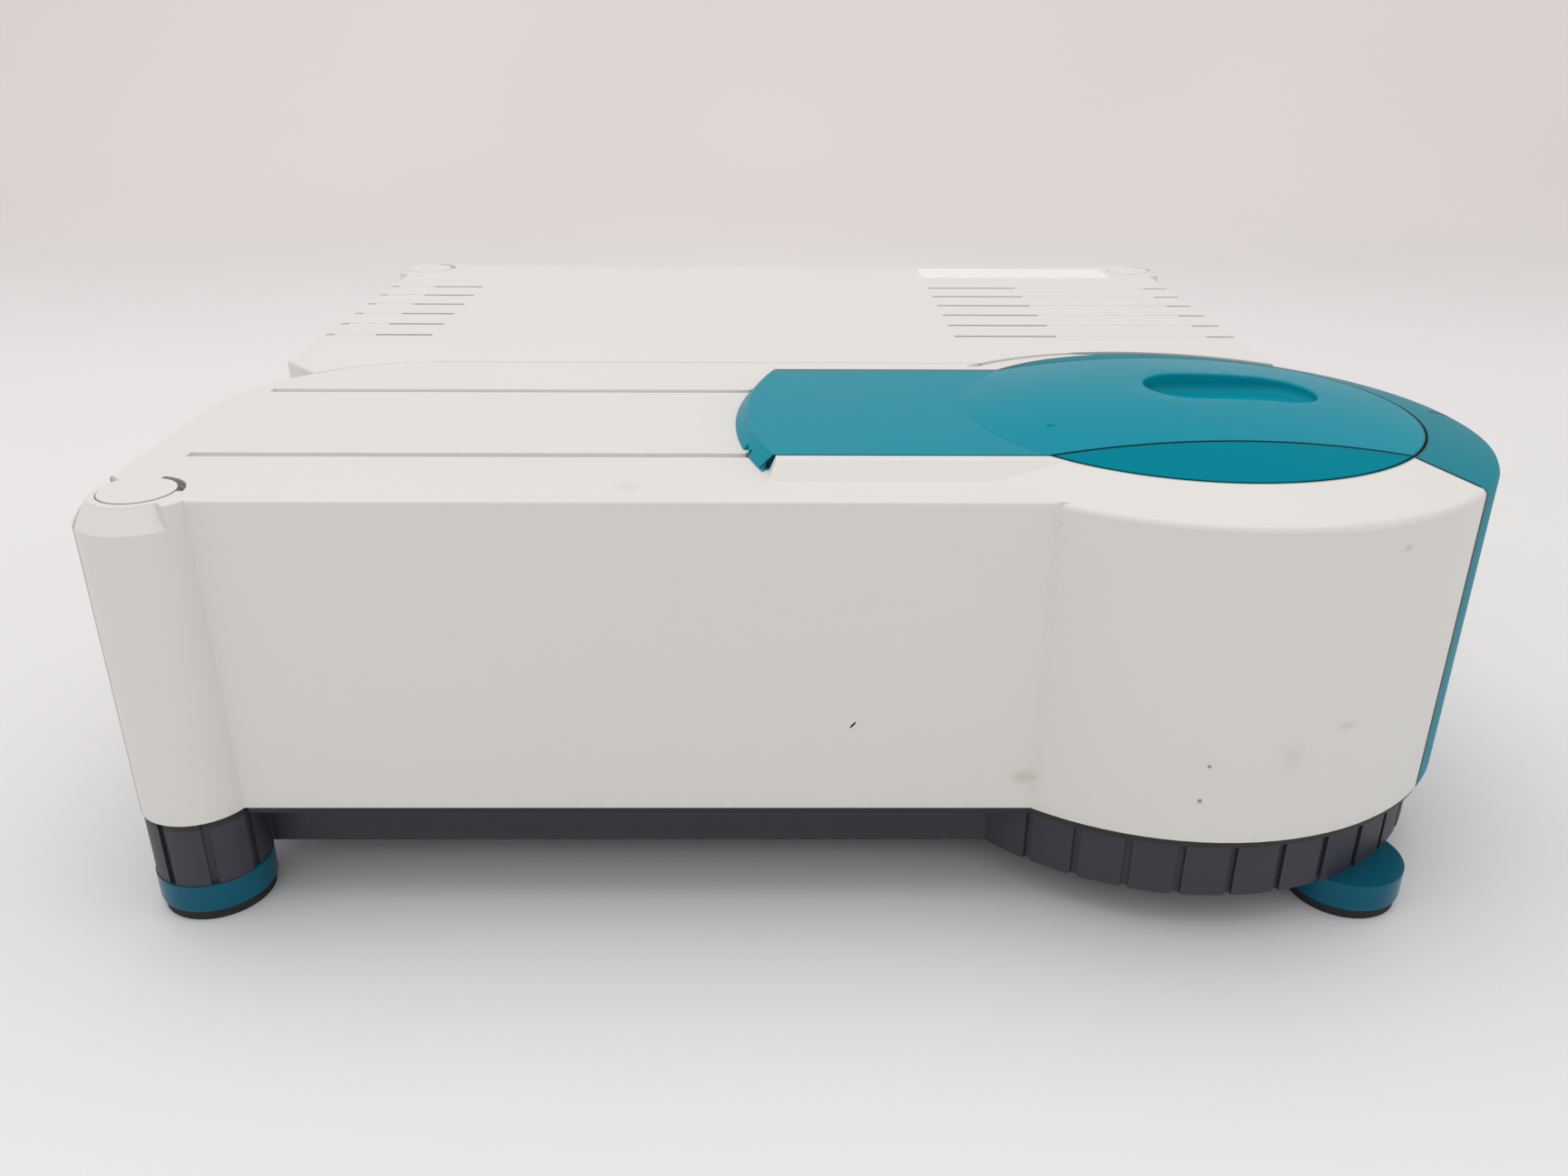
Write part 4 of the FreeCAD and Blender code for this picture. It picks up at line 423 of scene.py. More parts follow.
def moulded(name, base, roughness, grain=1500.0, depth=0.00003, cloud=0.06):
    """A moulded plastic whose colour drifts a little and whose surface has a fine spark texture."""
    made, tree, sockets = new_material(name, roughness)
    skin = tree.group("Moulded grain", Scale=grain)
    tone = tree.mix(skin.outputs["Cloud"], shade(base, 1 - cloud), shade(base, 1 + cloud))
    bump(tree, sockets, skin.outputs["Height"], 0.35, depth)
    drift = tree.ramp(skin.outputs["Cloud"], 0.3, 0.7, roughness - 0.03, roughness + 0.04)
    tree.feed(sockets["Roughness"], drift)
    return made, tree, sockets, tone


def white_plastic(settings):
    """The covers: off-white, with grime along the joints and a few stains and specks."""
    made, tree, sockets, tone = moulded("white moulded plastic", settings.cover_white, 0.42, cloud=0.012)
    x, y, z = axes(tree)
    patchy = tree.ramp(tree.noise(420.0, 5.0, 0.75), 0.40, 0.85, 0.0, 0.45)
    front = tree.ramp(y, FRONT_FACE + 1.5 * MM, FRONT_FACE + 2.5 * MM, 1.0, 0.0)
    low = tree.ramp(z, COVER_BOTTOM, COVER_BOTTOM + 50 * MM, 1.0, 0.35)
    seam = tree.math("MULTIPLY", tree.band(x, BULGE_JOINT, 4 * MM), front, patchy, low)
    foot_edge = tree.math("MULTIPLY", tree.ramp(z, COVER_BOTTOM, COVER_BOTTOM + 5 * MM, 0.5, 0.0), patchy)
    specks = tree.group("Specks", Scale=110.0, Radius=0.055, Density=0.12).outputs["Mask"]
    clustered = tree.math("MULTIPLY", specks, tree.ramp(tree.noise(9.0, 2.0), 0.5, 0.7), 0.5)
    tone = tree.mix(tree.math("MAXIMUM", seam, foot_edge, clustered), tone, settings.grime)
    for centre, size, tint, amount in STAINS:
        spot = tree.group("Spot", Centre=Vector(centre) * MM, Size=Vector(size) * MM, Ragged=0.5)
        tone = tree.mix(tree.ramp(spot.outputs["Share"], 0.1, 1.1, amount, 0.0), tone, tint)
    scuff = tree.group("Spot", Centre=SCUFF_CENTRE, Turn=(0.0, -SCUFF_LEAN, 0.0), Size=SCUFF_SIZE,
                       Ragged=0.25).outputs["Mask"]
    tone = tree.mix(scuff, tone, settings.black)
    tone = tree.mix(cap_dirt(tree, x, y, z), tone, settings.slot_brown)
    tree.feed(sockets["Base Color"], darken_joints(tree, tone))
    return made


def cap_dirt(tree, x, y, z):
    """The dirt in the pry slot of the front left cap, and the thin line round that cap."""
    _, _, distance = offsets(tree, x, y, (CAP[0] + CAP[1]) / 2)
    slot = tree.math("MULTIPLY", tree.band(distance, PRY_SLOT, PRY_SLOT_REACH),
                     tree.math("LESS_THAN", z, COVER_TOP - 0.5 * MM), PRY_SLOT_STRENGTH)
    line = tree.math("MULTIPLY", tree.band(distance, CAP_LINE, CAP_LINE_REACH), CAP_LINE_STRENGTH)
    return tree.math("MAXIMUM", slot, line)


def darken_joints(tree, tone):
    mask = tree.group("Joint lines").outputs["Mask"]
    return tree.mix(tree.math("MULTIPLY", mask, JOINT_STRENGTH), tone, JOINT_BLACK)


def teal_plastic(name, base, roughness, shine):
    """Teal mouldings with faint dust and fine rubbing marks."""
    made, tree, sockets, tone = moulded(name, base, roughness, cloud=0.035)
    dust = tree.group("Specks", Scale=120.0, Radius=0.07, Density=0.12).outputs["Mask"]
    wisps = tree.ramp(tree.noise(45.0, 6.0, 0.75), 0.55, 0.95, 0.0, 0.10)
    tone = tree.mix(wisps, tone, PALE_TEAL)
    tone = tree.mix(tree.math("MULTIPLY", dust, 0.35), tone, PALE_TEAL)
    sockets["Specular IOR Level"].default_value = shine
    tree.feed(sockets["Base Color"], darken_joints(tree, tone))
    return made


def base_plastic(settings):
    """The base: blue-grey with faint handling marks, and a painted shadow on the deck's edge in the gap under
    the covers.
    """
    made, tree, sockets, tone = moulded("grey base plastic", settings.base_grey, 0.50, cloud=0.10)
    marks = tree.ramp(tree.noise(60.0, 5.0, 0.7), 0.56, 0.8, 0.0, 0.35)
    tone = tree.mix(marks, tone, shade(settings.base_grey, 1.9))
    _, _, z = axes(tree)
    # Painted shadow: the deck's edge just under the covers is painted in the rubber's near-black.
    painted_shadow_gap = tree.ramp(z, COVER_BOTTOM - 3.6 * MM, COVER_BOTTOM - 2.8 * MM, 0.0, 0.95)
    tree.feed(sockets["Base Color"], tree.mix(painted_shadow_gap, tone, settings.rubber))
    return made


def plain_plastic(name, base, roughness, cloud=0.08, grain=1400.0, depth=0.00003):
    made, tree, sockets, tone = moulded(name, base, roughness, grain=grain, depth=depth, cloud=cloud)
    tree.feed(sockets["Base Color"], tone)
    return made


# Metals, optics and the board


def metal(name, base, roughness, stretch=(1.0, 40.0, 40.0), depth=0.00001):
    """Bare metal with fine drawn lines along one axis."""
    made, tree, sockets = new_material(name, roughness, metallic=1.0)
    mapping = tree.placed("ShaderNodeMapping")
    mapping.inputs["Scale"].default_value = stretch
    lines = tree.noise(60.0, 4.0, 0.7, vector=mapping.outputs[0])
    cloud = tree.noise(30.0, 3.0)
    tree.feed(sockets["Base Color"], tree.mix(cloud, shade(base, 0.9), shade(base, 1.05)))
    tree.feed(sockets["Roughness"], tree.ramp(lines, 0.2, 0.8, roughness - 0.08, roughness + 0.12))
    bump(tree, sockets, lines, 0.4, depth)
    return made


def coated_metal(name, base, roughness):
    """Anodised or painted metal."""
    made, tree, sockets, tone = moulded(name, base, roughness, grain=2600.0, depth=0.00001, cloud=0.12)
    sockets["Metallic"].default_value = 0.35
    tree.feed(sockets["Base Color"], tone)
    return made


def clear_glass(name, tint):
    made, tree, sockets = new_material(name, 0.02)
    smear = tree.ramp(tree.noise(70.0, 4.0), 0.35, 0.8, 0.02, 0.09)
    tree.feed(sockets["Roughness"], smear)
    tree.feed(sockets["Base Color"], tree.mix(tree.noise(12.0), shade(tint, 0.97), tint))
    sockets["Transmission Weight"].default_value = 1.0
    sockets["IOR"].default_value = 1.46
    return made


def circuit_board():
    """Green solder resist over a weave, with darker copper runs."""
    made, tree, sockets = new_material("green board", 0.35)
    runs = tree.placed("ShaderNodeTexBrick")
    runs.inputs["Scale"].default_value = 90.0
    runs.inputs["Mortar Size"].default_value = 0.06
    green = (0.010, 0.110, 0.045)
    tree.feed(sockets["Base Color"], tree.mix(runs.outputs["Fac"], green, shade(green, 0.5)))
    bump(tree, sockets, runs.outputs["Fac"], 0.3, 0.00005)
    return made


# Modelling helpers


def select_only(piece):
    bpy.ops.object.select_all(action="DESELECT")
    piece.select_set(True)
    bpy.context.view_layer.objects.active = piece


def begin(name):
    """Name the primitive that was just added, and put its place into its mesh."""
    piece = bpy.context.object
    piece.name = name
    piece.data.name = name
    select_only(piece)
    bpy.ops.object.transform_apply(location=True, rotation=True, scale=True)
    return piece


def pick(piece, kind, wanted):
    """Open a piece for editing with only the wanted vertices, edges or faces selected."""
    select_only(piece)
    mesh = piece.data
    for items in (mesh.vertices, mesh.edges, mesh.polygons):
        items.foreach_set("select", [False] * len(items))
    if kind == "VERT":
        for vertex in mesh.vertices:
            vertex.select = wanted(vertex.co)
    elif kind == "EDGE":
        for edge in mesh.edges:
            edge.select = wanted(*(mesh.vertices[index].co for index in edge.vertices))
    else:
        for face in mesh.polygons:
            face.select = wanted(face.center, face.normal)
    bpy.context.tool_settings.mesh_select_mode = tuple(kind == mode for mode in ("VERT", "EDGE", "FACE"))
    bpy.ops.object.mode_set(mode="EDIT")


def close():
    bpy.ops.object.mode_set(mode="OBJECT")


def move(piece, wanted, shift):
    """Move the wanted vertices."""
    pick(piece, "VERT", wanted)
    bpy.ops.transform.translate(value=shift)
    close()


def bevel(piece, wanted, width, segments):
    """Bevel or round the wanted edges."""
    pick(piece, "EDGE", wanted)
    bpy.ops.mesh.bevel(offset=width, segments=segments, affect="EDGES")
    close()


def apply_modifier(piece, kind, **values):
    select_only(piece)
    modifier = piece.modifiers.new(kind.title(), kind)
    for name, value in values.items():
        setattr(modifier, name, value)
    bpy.ops.object.modifier_apply(modifier=modifier.name)


def soften(piece, width, segments=2, angle=35):
    """Round a piece's crisp edges, and shade what is left smooth."""
    apply_modifier(piece, "BEVEL", width=width, segments=segments, limit_method="ANGLE",
                   angle_limit=math.radians(angle))
    smooth(piece, angle)


def smooth(piece, angle=30):
    select_only(piece)
    bpy.ops.object.shade_smooth_by_angle(angle=math.radians(angle))


def carve(piece, cutter, operation="DIFFERENCE"):
    """Cut one piece with another, or join them, and use the other up."""
    apply_modifier(piece, "BOOLEAN", object=cutter, operation=operation, solver="EXACT")
    bpy.data.objects.remove(cutter)


def copy_of(piece, name, shift):
    """A copy with a mesh of its own, moved to its place."""
    twin = piece.copy()
    twin.data = piece.data.copy()
    twin.name = name
    twin.data.name = name
    bpy.context.scene.collection.objects.link(twin)
    twin.data.transform(Matrix.Translation(shift))
    return twin


def cad_copy(node, name):
    """A welded copy of a node's mesh, as the start of the piece that stands for it."""
    mesh = NODES[node].data.copy()
    mesh.name = name
    piece = bpy.data.objects.new(name, mesh)
    bpy.context.scene.collection.objects.link(piece)
    select_only(piece)
    bpy.ops.mesh.customdata_custom_splitnormals_clear()
    pick(piece, "VERT", lambda co: True)
    bpy.ops.mesh.remove_doubles(threshold=0.001 * MM)
    close()
    return piece


def halve(piece, point, normal):
    """Cut a piece along a plane, drop the side that the normal points to, and close the cut."""
    pick(piece, "VERT", lambda co: True)
    bpy.ops.mesh.bisect(plane_co=point, plane_no=normal, use_fill=True, clear_outer=True)
    close()


def join(pieces, name):
    bpy.ops.object.select_all(action="DESELECT")
    for piece in pieces:
        piece.select_set(True)
    bpy.context.view_layer.objects.active = pieces[0]
    bpy.ops.object.join()
    pieces[0].name = name
    pieces[0].data.name = name
    return pieces[0]


def dress(piece, made):
    piece.data.materials.clear()
    piece.data.materials.append(made)


def settle(piece, made, body, slot, *replaced):
    """Finish a new piece: its material, its body and the nodes that it stands for. The slot is not used."""
    dress(piece, made)
    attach(piece, body)
    if replaced:
        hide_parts(*replaced)


def block(name, low, high):
    middle = (Vector(low) + Vector(high)) / 2
    size = Vector(high) - Vector(low)
    bpy.ops.mesh.primitive_cube_add(size=1, location=middle, scale=size)
    return begin(name)


def rod(name, place, radius, depth, rotation=(0.0, 0.0, 0.0), vertices=32):
    bpy.ops.mesh.primitive_cylinder_add(vertices=vertices, radius=radius, depth=depth, location=place,
                                        rotation=rotation)
    return begin(name)


# Operators


class INSTRUMENT_OT_groups(bpy.types.Operator):
    """Build the shader groups that the finishes share"""
    bl_idname = "instrument.groups"
    bl_label = "Shared surface effects"

    def execute(self, context):
        for build in (grain_group, band_group, spot_group, joint_group, speck_group):
            build()
        return {"FINISHED"}


class INSTRUMENT_OT_plastics(bpy.types.Operator):
    """Give the moulded covers, lid, base and feet their plastics"""
    bl_idname = "instrument.plastics"
    bl_label = "Plastic finishes"

    def execute(self, context):
        settings = context.scene.instrument_finish
        white = white_plastic(settings)
        # The lid's lighter teal is a painted sheen; the crescents carry the plain teal.
        lid = teal_plastic("teal lid plastic with painted sheen", settings.lid_teal_painted_sheen, 0.36, 0.06)
        crescent = teal_plastic("teal crescent plastic", settings.crescent_teal, 0.45, 0.01)
        panel = teal_plastic("teal panel plastic", settings.panel_teal, 0.42, 0.08)
        foot = teal_plastic("teal foot plastic", settings.foot_teal, 0.24, 0.20)
        base = base_plastic(settings)
        black = plain_plastic("black plastic", settings.black, 0.45)
        rubber = plain_plastic("black rubber", settings.rubber, 0.75, grain=900.0, depth=0.00006)
        finish_nodes({
            white: ("front_cover", "rear_cover", "corner_cap_"),
            lid: ("lid",),
            crescent: ("front_crescent", "rear_crescent"),
            panel: ("compartment_panel",),
            foot: ("foot_ring_",),
            base: ("base_tray",),
            black: ("compartment_tub", "mains_inlet", "switch_frame", "fuse_drawer", "fan_frame",
                    "fan_rotor", "lid_runners", "power_rocker", "lamp_socket", "filter_wheel",
                    "holder_knobs", "board_parts"),
            rubber: ("foot_pads", "lid_seal"),
        })
        return {"FINISHED"}


class INSTRUMENT_OT_metals(bpy.types.Operator):
    """Give the panel, optical bench, holder and fasteners their metals"""
    bl_idname = "instrument.metals"
    bl_label = "Metal finishes"

    def execute(self, context):
        finish_nodes({
            metal("bright steel", (0.56, 0.56, 0.57), 0.28):
                ("foot_screws", "panel_screws", "holder_screws", "window_rings", "board_pillars", "slits",
                 "data_port"),
            metal("plated brass", (0.72, 0.52, 0.24), 0.25): ("inlet_pins",),
            metal("machined aluminium", (0.66, 0.67, 0.68), 0.36):
                ("optical_bench", "monochromator_housing", "monochromator_cover", "grating_table",
                 "lamp_housing", "splitter_holder", "holder_base", "connector_panel", "power_supply"),
            coated_metal("black anodised metal", (0.022, 0.022, 0.025), 0.40):
                ("cell_holder", "grating_motor", "filter_motor", "reference_detector", "sample_detector"),
        })
        return {"FINISHED"}


class INSTRUMENT_OT_optics(bpy.types.Operator):
    """Give the windows, lenses, mirrors and the circuit board their finishes"""
    bl_idname = "instrument.optics"
    bl_label = "Optics and board"

    def execute(self, context):
        finish_nodes({
            clear_glass("polished silica", (0.93, 0.97, 0.98)):
                ("beam_windows", "condenser_lens", "beam_splitter", "flash_lamp"),
            clear_glass("filter glass", (0.85, 0.35, 0.12)): ("order_filters",),
            metal("coated mirror", (0.88, 0.89, 0.91), 0.12, depth=0.000002):
                ("collimating_mirror", "focusing_mirror", "grating"),
            circuit_board(): ("main_board",),
        })
        return {"FINISHED"}


def finish_nodes(finishes):
    """Give each named node its material: a name that ends in an underscore stands for a family."""
    for made, names in finishes.items():
        for name in names:
            family = [node for node in NODES if node == name or name.endswith("_") and node.startswith(name)]
            if not family:
                raise RuntimeError("no node is named " + name)
            for node in family:
                dress(NODES[node], made)


def round_normal(angle):
    """The level direction in which the angle about the compartment's axis grows."""
    return Vector((-math.sin(angle), math.cos(angle), 0))


class INSTRUMENT_OT_crown(bpy.types.Operator):
    """Split the compartment's crown into its teal and white pieces, and run the strips into it"""
    bl_idname = "instrument.crown"
    bl_label = "Crown and strips"

    def execute(self, context):
        sizes = context.scene.instrument_pieces
        white = bpy.data.materials["white moulded plastic"]
        grow = round_normal(sizes.crown_split)
        teal_crown = cad_copy("compartment_panel", "teal_crown")
        halve(teal_crown, COMPARTMENT - grow * sizes.crown_joint / 2, grow)
        white_crown = cad_copy("compartment_panel", "white_crown")
        halve(white_crown, COMPARTMENT + grow * sizes.crown_joint / 2, -grow)
        for piece in (teal_crown, white_crown):
            smooth(piece)
        settle(teal_crown, bpy.data.materials["teal panel plastic"], "housing", "teal_plastic",
               "compartment_panel")
        settle(white_crown, white, "housing", "white_plastic", "compartment_panel")
        for side, name in ((1, "rear"), (-1, "front")):
            strip = tongue_strip("tongue_strip_" + name, side, sizes)
            carve(strip, crown_end("crown_end_" + name, side), "UNION")
            smooth(strip)
            settle(strip, white, "housing", "white_plastic")
        return {"FINISHED"}


def lid_well(name):
    """A cutter as wide as the round well that the lid closes."""
    return rod(name, (COMPARTMENT.x, COMPARTMENT.y, CROWN_TOP), WELL_RADIUS, 4 * (CROWN_TOP - COVER_TOP),
               vertices=256)


def crown_end(name, side):
    """The end of the white crown, from the panel's end or the front ring's to the tongue."""
    outer = BULGE_RADIUS - 3 * MM
    past = 1.2
    height = past * (CROWN_TOP - COVER_TOP)
    bpy.ops.mesh.primitive_cone_add(vertices=256, radius1=outer, radius2=outer - past * (outer - WELL_RADIUS),
                                    depth=height,
                                    location=(COMPARTMENT.x, COMPARTMENT.y, COVER_TOP + height / 2))
    ring = begin(name)
    carve(ring, lid_well(name + "_well"))
    first, last = (side * angle for angle in WHITE_CROWN_END)
    halve(ring, COMPARTMENT, side * round_normal(last))
    halve(ring, COMPARTMENT, -side * round_normal(first))
    edge = Vector((0, side * (CHANNEL - TONGUE_GAP), 0))
    halve(ring, COMPARTMENT + edge, Vector((0, -side, 0)))
    return ring


def tongue_strip(name, side, sizes):
    """A raised strip beside the tongue: level, then sloped, and cut round where it meets the lid."""
    near = COMPARTMENT.y + side * (CHANNEL - TONGUE_GAP)
    crease = near + side * sizes.strip_flat
    far = near + side * sizes.strip_width
    left = LID[0].x + sizes.strip_setback
    right = COMPARTMENT.x - 0.5 * WELL_RADIUS
    strip = block(name, (left, min(near, crease), COVER_TOP - 0.5 * MM),
                  (right, max(near, crease), CROWN_TOP))
    pick(strip, "FACE", lambda centre, normal: normal.y * side > 0.9)
    bpy.ops.mesh.extrude_region_move(TRANSFORM_OT_translate={"value": (0, far - crease, 0)})
    close()
    drop = CROWN_TOP - COVER_TOP - 0.05 * MM
    move(strip, lambda co: co.z > COVER_TOP and abs(co.y - far) < 0.1 * MM, (0, 0, -drop))
    move(strip, lambda co: co.z > COVER_TOP + 1 * MM and co.x < left + 1 * MM, (sizes.strip_slope, 0, 0))
    carve(strip, lid_well(name + "_well"))
    return strip


class INSTRUMENT_OT_lid_nose(bpy.types.Operator):
    """Trim the lid's nose to its round, cut its notches and ears, and add the dome's small blister"""
    bl_idname = "instrument.lid_nose"
    bl_label = "Lid nose"

    def execute(self, context):
        sizes = context.scene.instrument_pieces
        shell = cad_copy("lid", "lid_shell")
        low = COVER_TOP - THROUGH
        high = LID[1].z + THROUGH
        lean = sizes.nose_bevel / (CROWN_TOP - COVER_TOP)
        bpy.ops.mesh.primitive_cone_add(vertices=512, radius1=sizes.nose_radius + (COVER_TOP - low) * lean,
                                        radius2=sizes.nose_radius - (high - COVER_TOP) * lean,
                                        depth=high - low,
                                        location=(COMPARTMENT.x, COMPARTMENT.y, (low + high) / 2))
        carve(shell, begin("nose_round"), "INTERSECT")
        nose = COMPARTMENT.x - sizes.nose_radius
        ear_end = nose + sizes.ear_length
        inner = CHANNEL - 0.6 * MM
        outer = inner + 20 * MM
        for side in (-1, 1):
            carve(shell, side_block("notch_cutter", side, (nose - THROUGH, nose + sizes.notch_reach),
                                    (sizes.notch_in, sizes.notch_out), (low, high)))
            behind = side_block("ear_end_cutter", side, (ear_end, ear_end + 9 * MM), (inner, outer),
                                (low, high))
            corner = COMPARTMENT.y + side * inner
            bevel(behind, lambda a, b: abs(a.z - b.z) > 1 * MM and abs(a.x - ear_end) < 0.01 * MM
                  and abs(a.y - corner) < 0.01 * MM, sizes.ear_gusset, 1)
            carve(shell, behind)
            carve(shell, side_block("ear_side_cutter", side, (nose - THROUGH, ear_end + THROUGH),
                                    (inner + sizes.ear_reach, outer), (low, high)))
        smooth(shell)
        lid_teal_painted_sheen = bpy.data.materials["teal lid plastic with painted sheen"]
        settle(shell, lid_teal_painted_sheen, "lid", "teal_plastic", "lid")
        bpy.ops.mesh.primitive_uv_sphere_add(segments=32, ring_count=16, radius=1, location=BLISTER,
                                             scale=BLISTER_SIZE)
        blister = begin("lid_blister")
        smooth(blister, 60)
        settle(blister, lid_teal_painted_sheen, "lid", "teal_plastic")
        return {"FINISHED"}


def side_block(name, side, along, beside, upward):
    """A block on one side of the tongue, its reach beside it measured from the tongue's middle."""
    near, far = sorted(COMPARTMENT.y + side * reach for reach in beside)
    return block(name, (along[0], near, upward[0]), (along[1], far, upward[1]))


class INSTRUMENT_OT_rear_vents(bpy.types.Operator):
    """Trim the rear cover's vent rows to their real openings and shallow marks"""
    bl_idname = "instrument.rear_vents"
    bl_label = "Rear vents"

    def execute(self, context):
        sizes = context.scene.instrument_pieces
        shell = cad_copy("rear_cover", "rear_cover_shell")
        inside = COVER_TOP - 2.6 * MM
        for name, spans, top in (("vent_fillers", VENT_TRACED, COVER_TOP - sizes.vent_trace),
                                 ("vent_ends", VENT_FILLED, COVER_TOP - 0.01 * MM)):
            carve(shell, vent_bars(name, spans, 0.25 * MM, inside, top, sizes), "UNION")
        carve(shell, vent_bars("vent_cutters", VENT_OPEN, 0.0, COVER_TOP - 4 * MM, COVER_TOP + 1 * MM, sizes))
        smooth(shell)
        settle(shell, bpy.data.materials["white moulded plastic"], "housing", "white_plastic", "rear_cover")
        return {"FINISHED"}


def vent_bars(name, spans, margin, low, high, sizes):
    """One bar in each row for each span along the cover."""
    half = sizes.vent_width / 2 + margin
    bars = []
    for row in range(sizes.vent_rows):
        y = sizes.vent_first + row * sizes.vent_pitch
        for start, end in spans:
            bars.append(block(name, (start, y - half, low), (end, y + half, high)))
    return join(bars, name)


class INSTRUMENT_OT_label(bpy.types.Operator):
    """Lay the blank label on the rear cover, beside the corner cap"""
    bl_idname = "instrument.label"
    bl_label = "Blank label"

    def execute(self, context):
        sizes = context.scene.instrument_pieces
        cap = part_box("corner_cap_rear_right")
        right = cap[0].x - sizes.label_margin
        rear = cap[0].y + 18 * MM
        low = (right - sizes.label_length, rear - sizes.label_width, COVER_TOP)
        high = (right, rear, COVER_TOP + sizes.label_thickness)
        piece = block("blank_label", low, high)
        bevel(piece, lambda a, b: abs(a.z - b.z) > sizes.label_thickness / 2, 2 * MM, 6)
        made = plain_plastic("label film", context.scene.instrument_finish.label_white, 0.30, cloud=0.02,
                             grain=300.0, depth=0.00004)
        settle(piece, made, "housing", "white_plastic")
        return {"FINISHED"}


def cross_head(name, place, radius, height):
    """A low round screw head that faces the rear, with a cross recess."""
    head = rod(name, place + Vector((0, height / 2, 0)), radius, height, FACING_REAR)
    dome = height * 0.25
    pick(head, "FACE", lambda centre, normal: normal.y > 0.9)
    bpy.ops.mesh.inset(thickness=radius * 0.3)
    bpy.ops.transform.translate(value=(0, dome, 0))
    close()
    for wide, tall in ((0.24, 1.1), (1.1, 0.24)):
        reach = Vector((radius * wide / 2, 0, radius * tall / 2))
        low = place - reach + Vector((0, height * 0.45 + dome, 0))
        high = place + reach + Vector((0, height * 2 + dome, 0))
        carve(head, block("cross_cutter", low, high))
    soften(head, radius * 0.05)
    return head


class INSTRUMENT_OT_panel_screws(bpy.types.Operator):
    """Model the connector panel's screws, with their cross recesses"""
    bl_idname = "instrument.panel_screws"
    bl_label = "Panel screws"

    def execute(self, context):
        sizes = context.scene.instrument_pieces
        low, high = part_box("panel_screws")
        radius = sizes.head_radius
        made = metal("screw steel", (0.50, 0.50, 0.51), 0.25)
        first = Vector((low.x + radius, low.y, low.z + radius))
        head = cross_head("panel_screw_1", first, radius, sizes.head_height)
        heads = [head]
        for index, (across, up) in enumerate(((1, 0), (0, 1), (1, 1)), start=2):
            shift = Vector((across * (high.x - low.x - 2 * radius), 0, up * (high.z - low.z - 2 * radius)))
            heads.append(copy_of(head, "panel_screw_%d" % index, shift))
        for piece in heads:
            settle(piece, made, "housing", "steel", "panel_screws")
        return {"FINISHED"}


class INSTRUMENT_OT_data_socket(bpy.types.Operator):
    """Model the data socket: a D-shaped collar on its flange, an insert with pins, and two hex posts"""
    bl_idname = "instrument.data_socket"
    bl_label = "Data socket"

    def execute(self, context):
        sizes = context.scene.instrument_pieces
        low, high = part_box("data_port")
        face = high.y
        middle = Vector(((low.x + high.x) / 2, face, (low.z + high.z) / 2))
        steel = metal("socket steel", (0.60, 0.59, 0.56), 0.30)
        flange = block("socket_flange", (low.x, face - 1 * MM, low.z), (high.x, face, high.z))
        bevel(flange, lambda a, b: abs(a.y - b.y) > 0.5 * MM, 2 * MM, 5)
        wide = 12.2 * MM
        tall = 4.1 * MM
        wall = 0.5 * MM
        play = 0.2 * MM
        collar = d_shape("socket_collar", middle, wide, tall, sizes.socket_proud)
        carve(collar, d_shape("socket_hollow", middle + Vector((0, wall, 0)), wide - wall, tall - wall,
                              sizes.socket_proud))
        soften(collar, 0.12 * MM)
        insert = d_shape("socket_insert", middle, wide - wall - play, tall - wall - play, 1.2 * MM)
        soften(insert, 0.15 * MM)
        settle(flange, steel, "housing", "steel", "data_port")
        settle(collar, steel, "housing", "steel")
        settle(insert, bpy.data.materials["black plastic"], "housing", "black_plastic")
        settle(socket_pins(middle, sizes), metal("gold plate", (0.80, 0.58, 0.26), 0.22), "housing", "brass")
        for side, name in ((-1, "left"), (1, "right")):
            post = hex_post("socket_post_" + name, middle + Vector((side * 15.8 * MM, 0, 0)))
            settle(post, steel, "housing", "steel")
        return {"FINISHED"}


def d_shape(name, place, half_wide, half_tall, proud):
    """A D-shaped block that stands out to the rear, narrower at its lower side."""
    piece = block(name, (place.x - half_wide, place.y, place.z - half_tall),
                  (place.x + half_wide, place.y + proud, place.z + half_tall))
    pick(piece, "VERT", lambda co: co.z < place.z)
    bpy.ops.transform.resize(value=(0.92, 1, 1), center_override=place)
    close()
    bevel(piece, lambda a, b: abs(a.y - b.y) > proud / 2, 1.6 * MM, 6)
    return piece


def socket_pins(middle, sizes):
    """Two rows of round-ended pins, joined into one piece."""
    pins = []
    for row, count in ((1, sizes.pins_wide), (-1, sizes.pins_wide - 1)):
        for index in range(count):
            x = middle.x + (index - (count - 1) / 2) * sizes.pin_pitch
            place = (x, middle.y + 1.9 * MM, middle.z + row * 1.42 * MM)
            pin = rod("socket_pin", place, 0.5 * MM, 3.4 * MM, FACING_REAR, vertices=12)
            pick(pin, "FACE", lambda centre, normal: normal.y > 0.9)
            bpy.ops.mesh.extrude_region_move(TRANSFORM_OT_translate={"value": (0, 0.3 * MM, 0)})
            bpy.ops.transform.resize(value=(0.55, 1, 0.55))
            close()
            pins.append(pin)
    row = join(pins, "socket_pins")
    smooth(row, 40)
    return row


def hex_post(name, place):
    """A six-sided threaded post beside the socket's collar."""
    post = rod(name, place + Vector((0, 2.4 * MM, 0)), 2.7 * MM, 4.8 * MM, FACING_REAR, vertices=6)
    bore = rod(name + "_bore", place + Vector((0, 4 * MM, 0)), 1.3 * MM, 6 * MM, FACING_REAR, vertices=24)
    carve(post, bore)
    soften(post, 0.25 * MM)
    return post


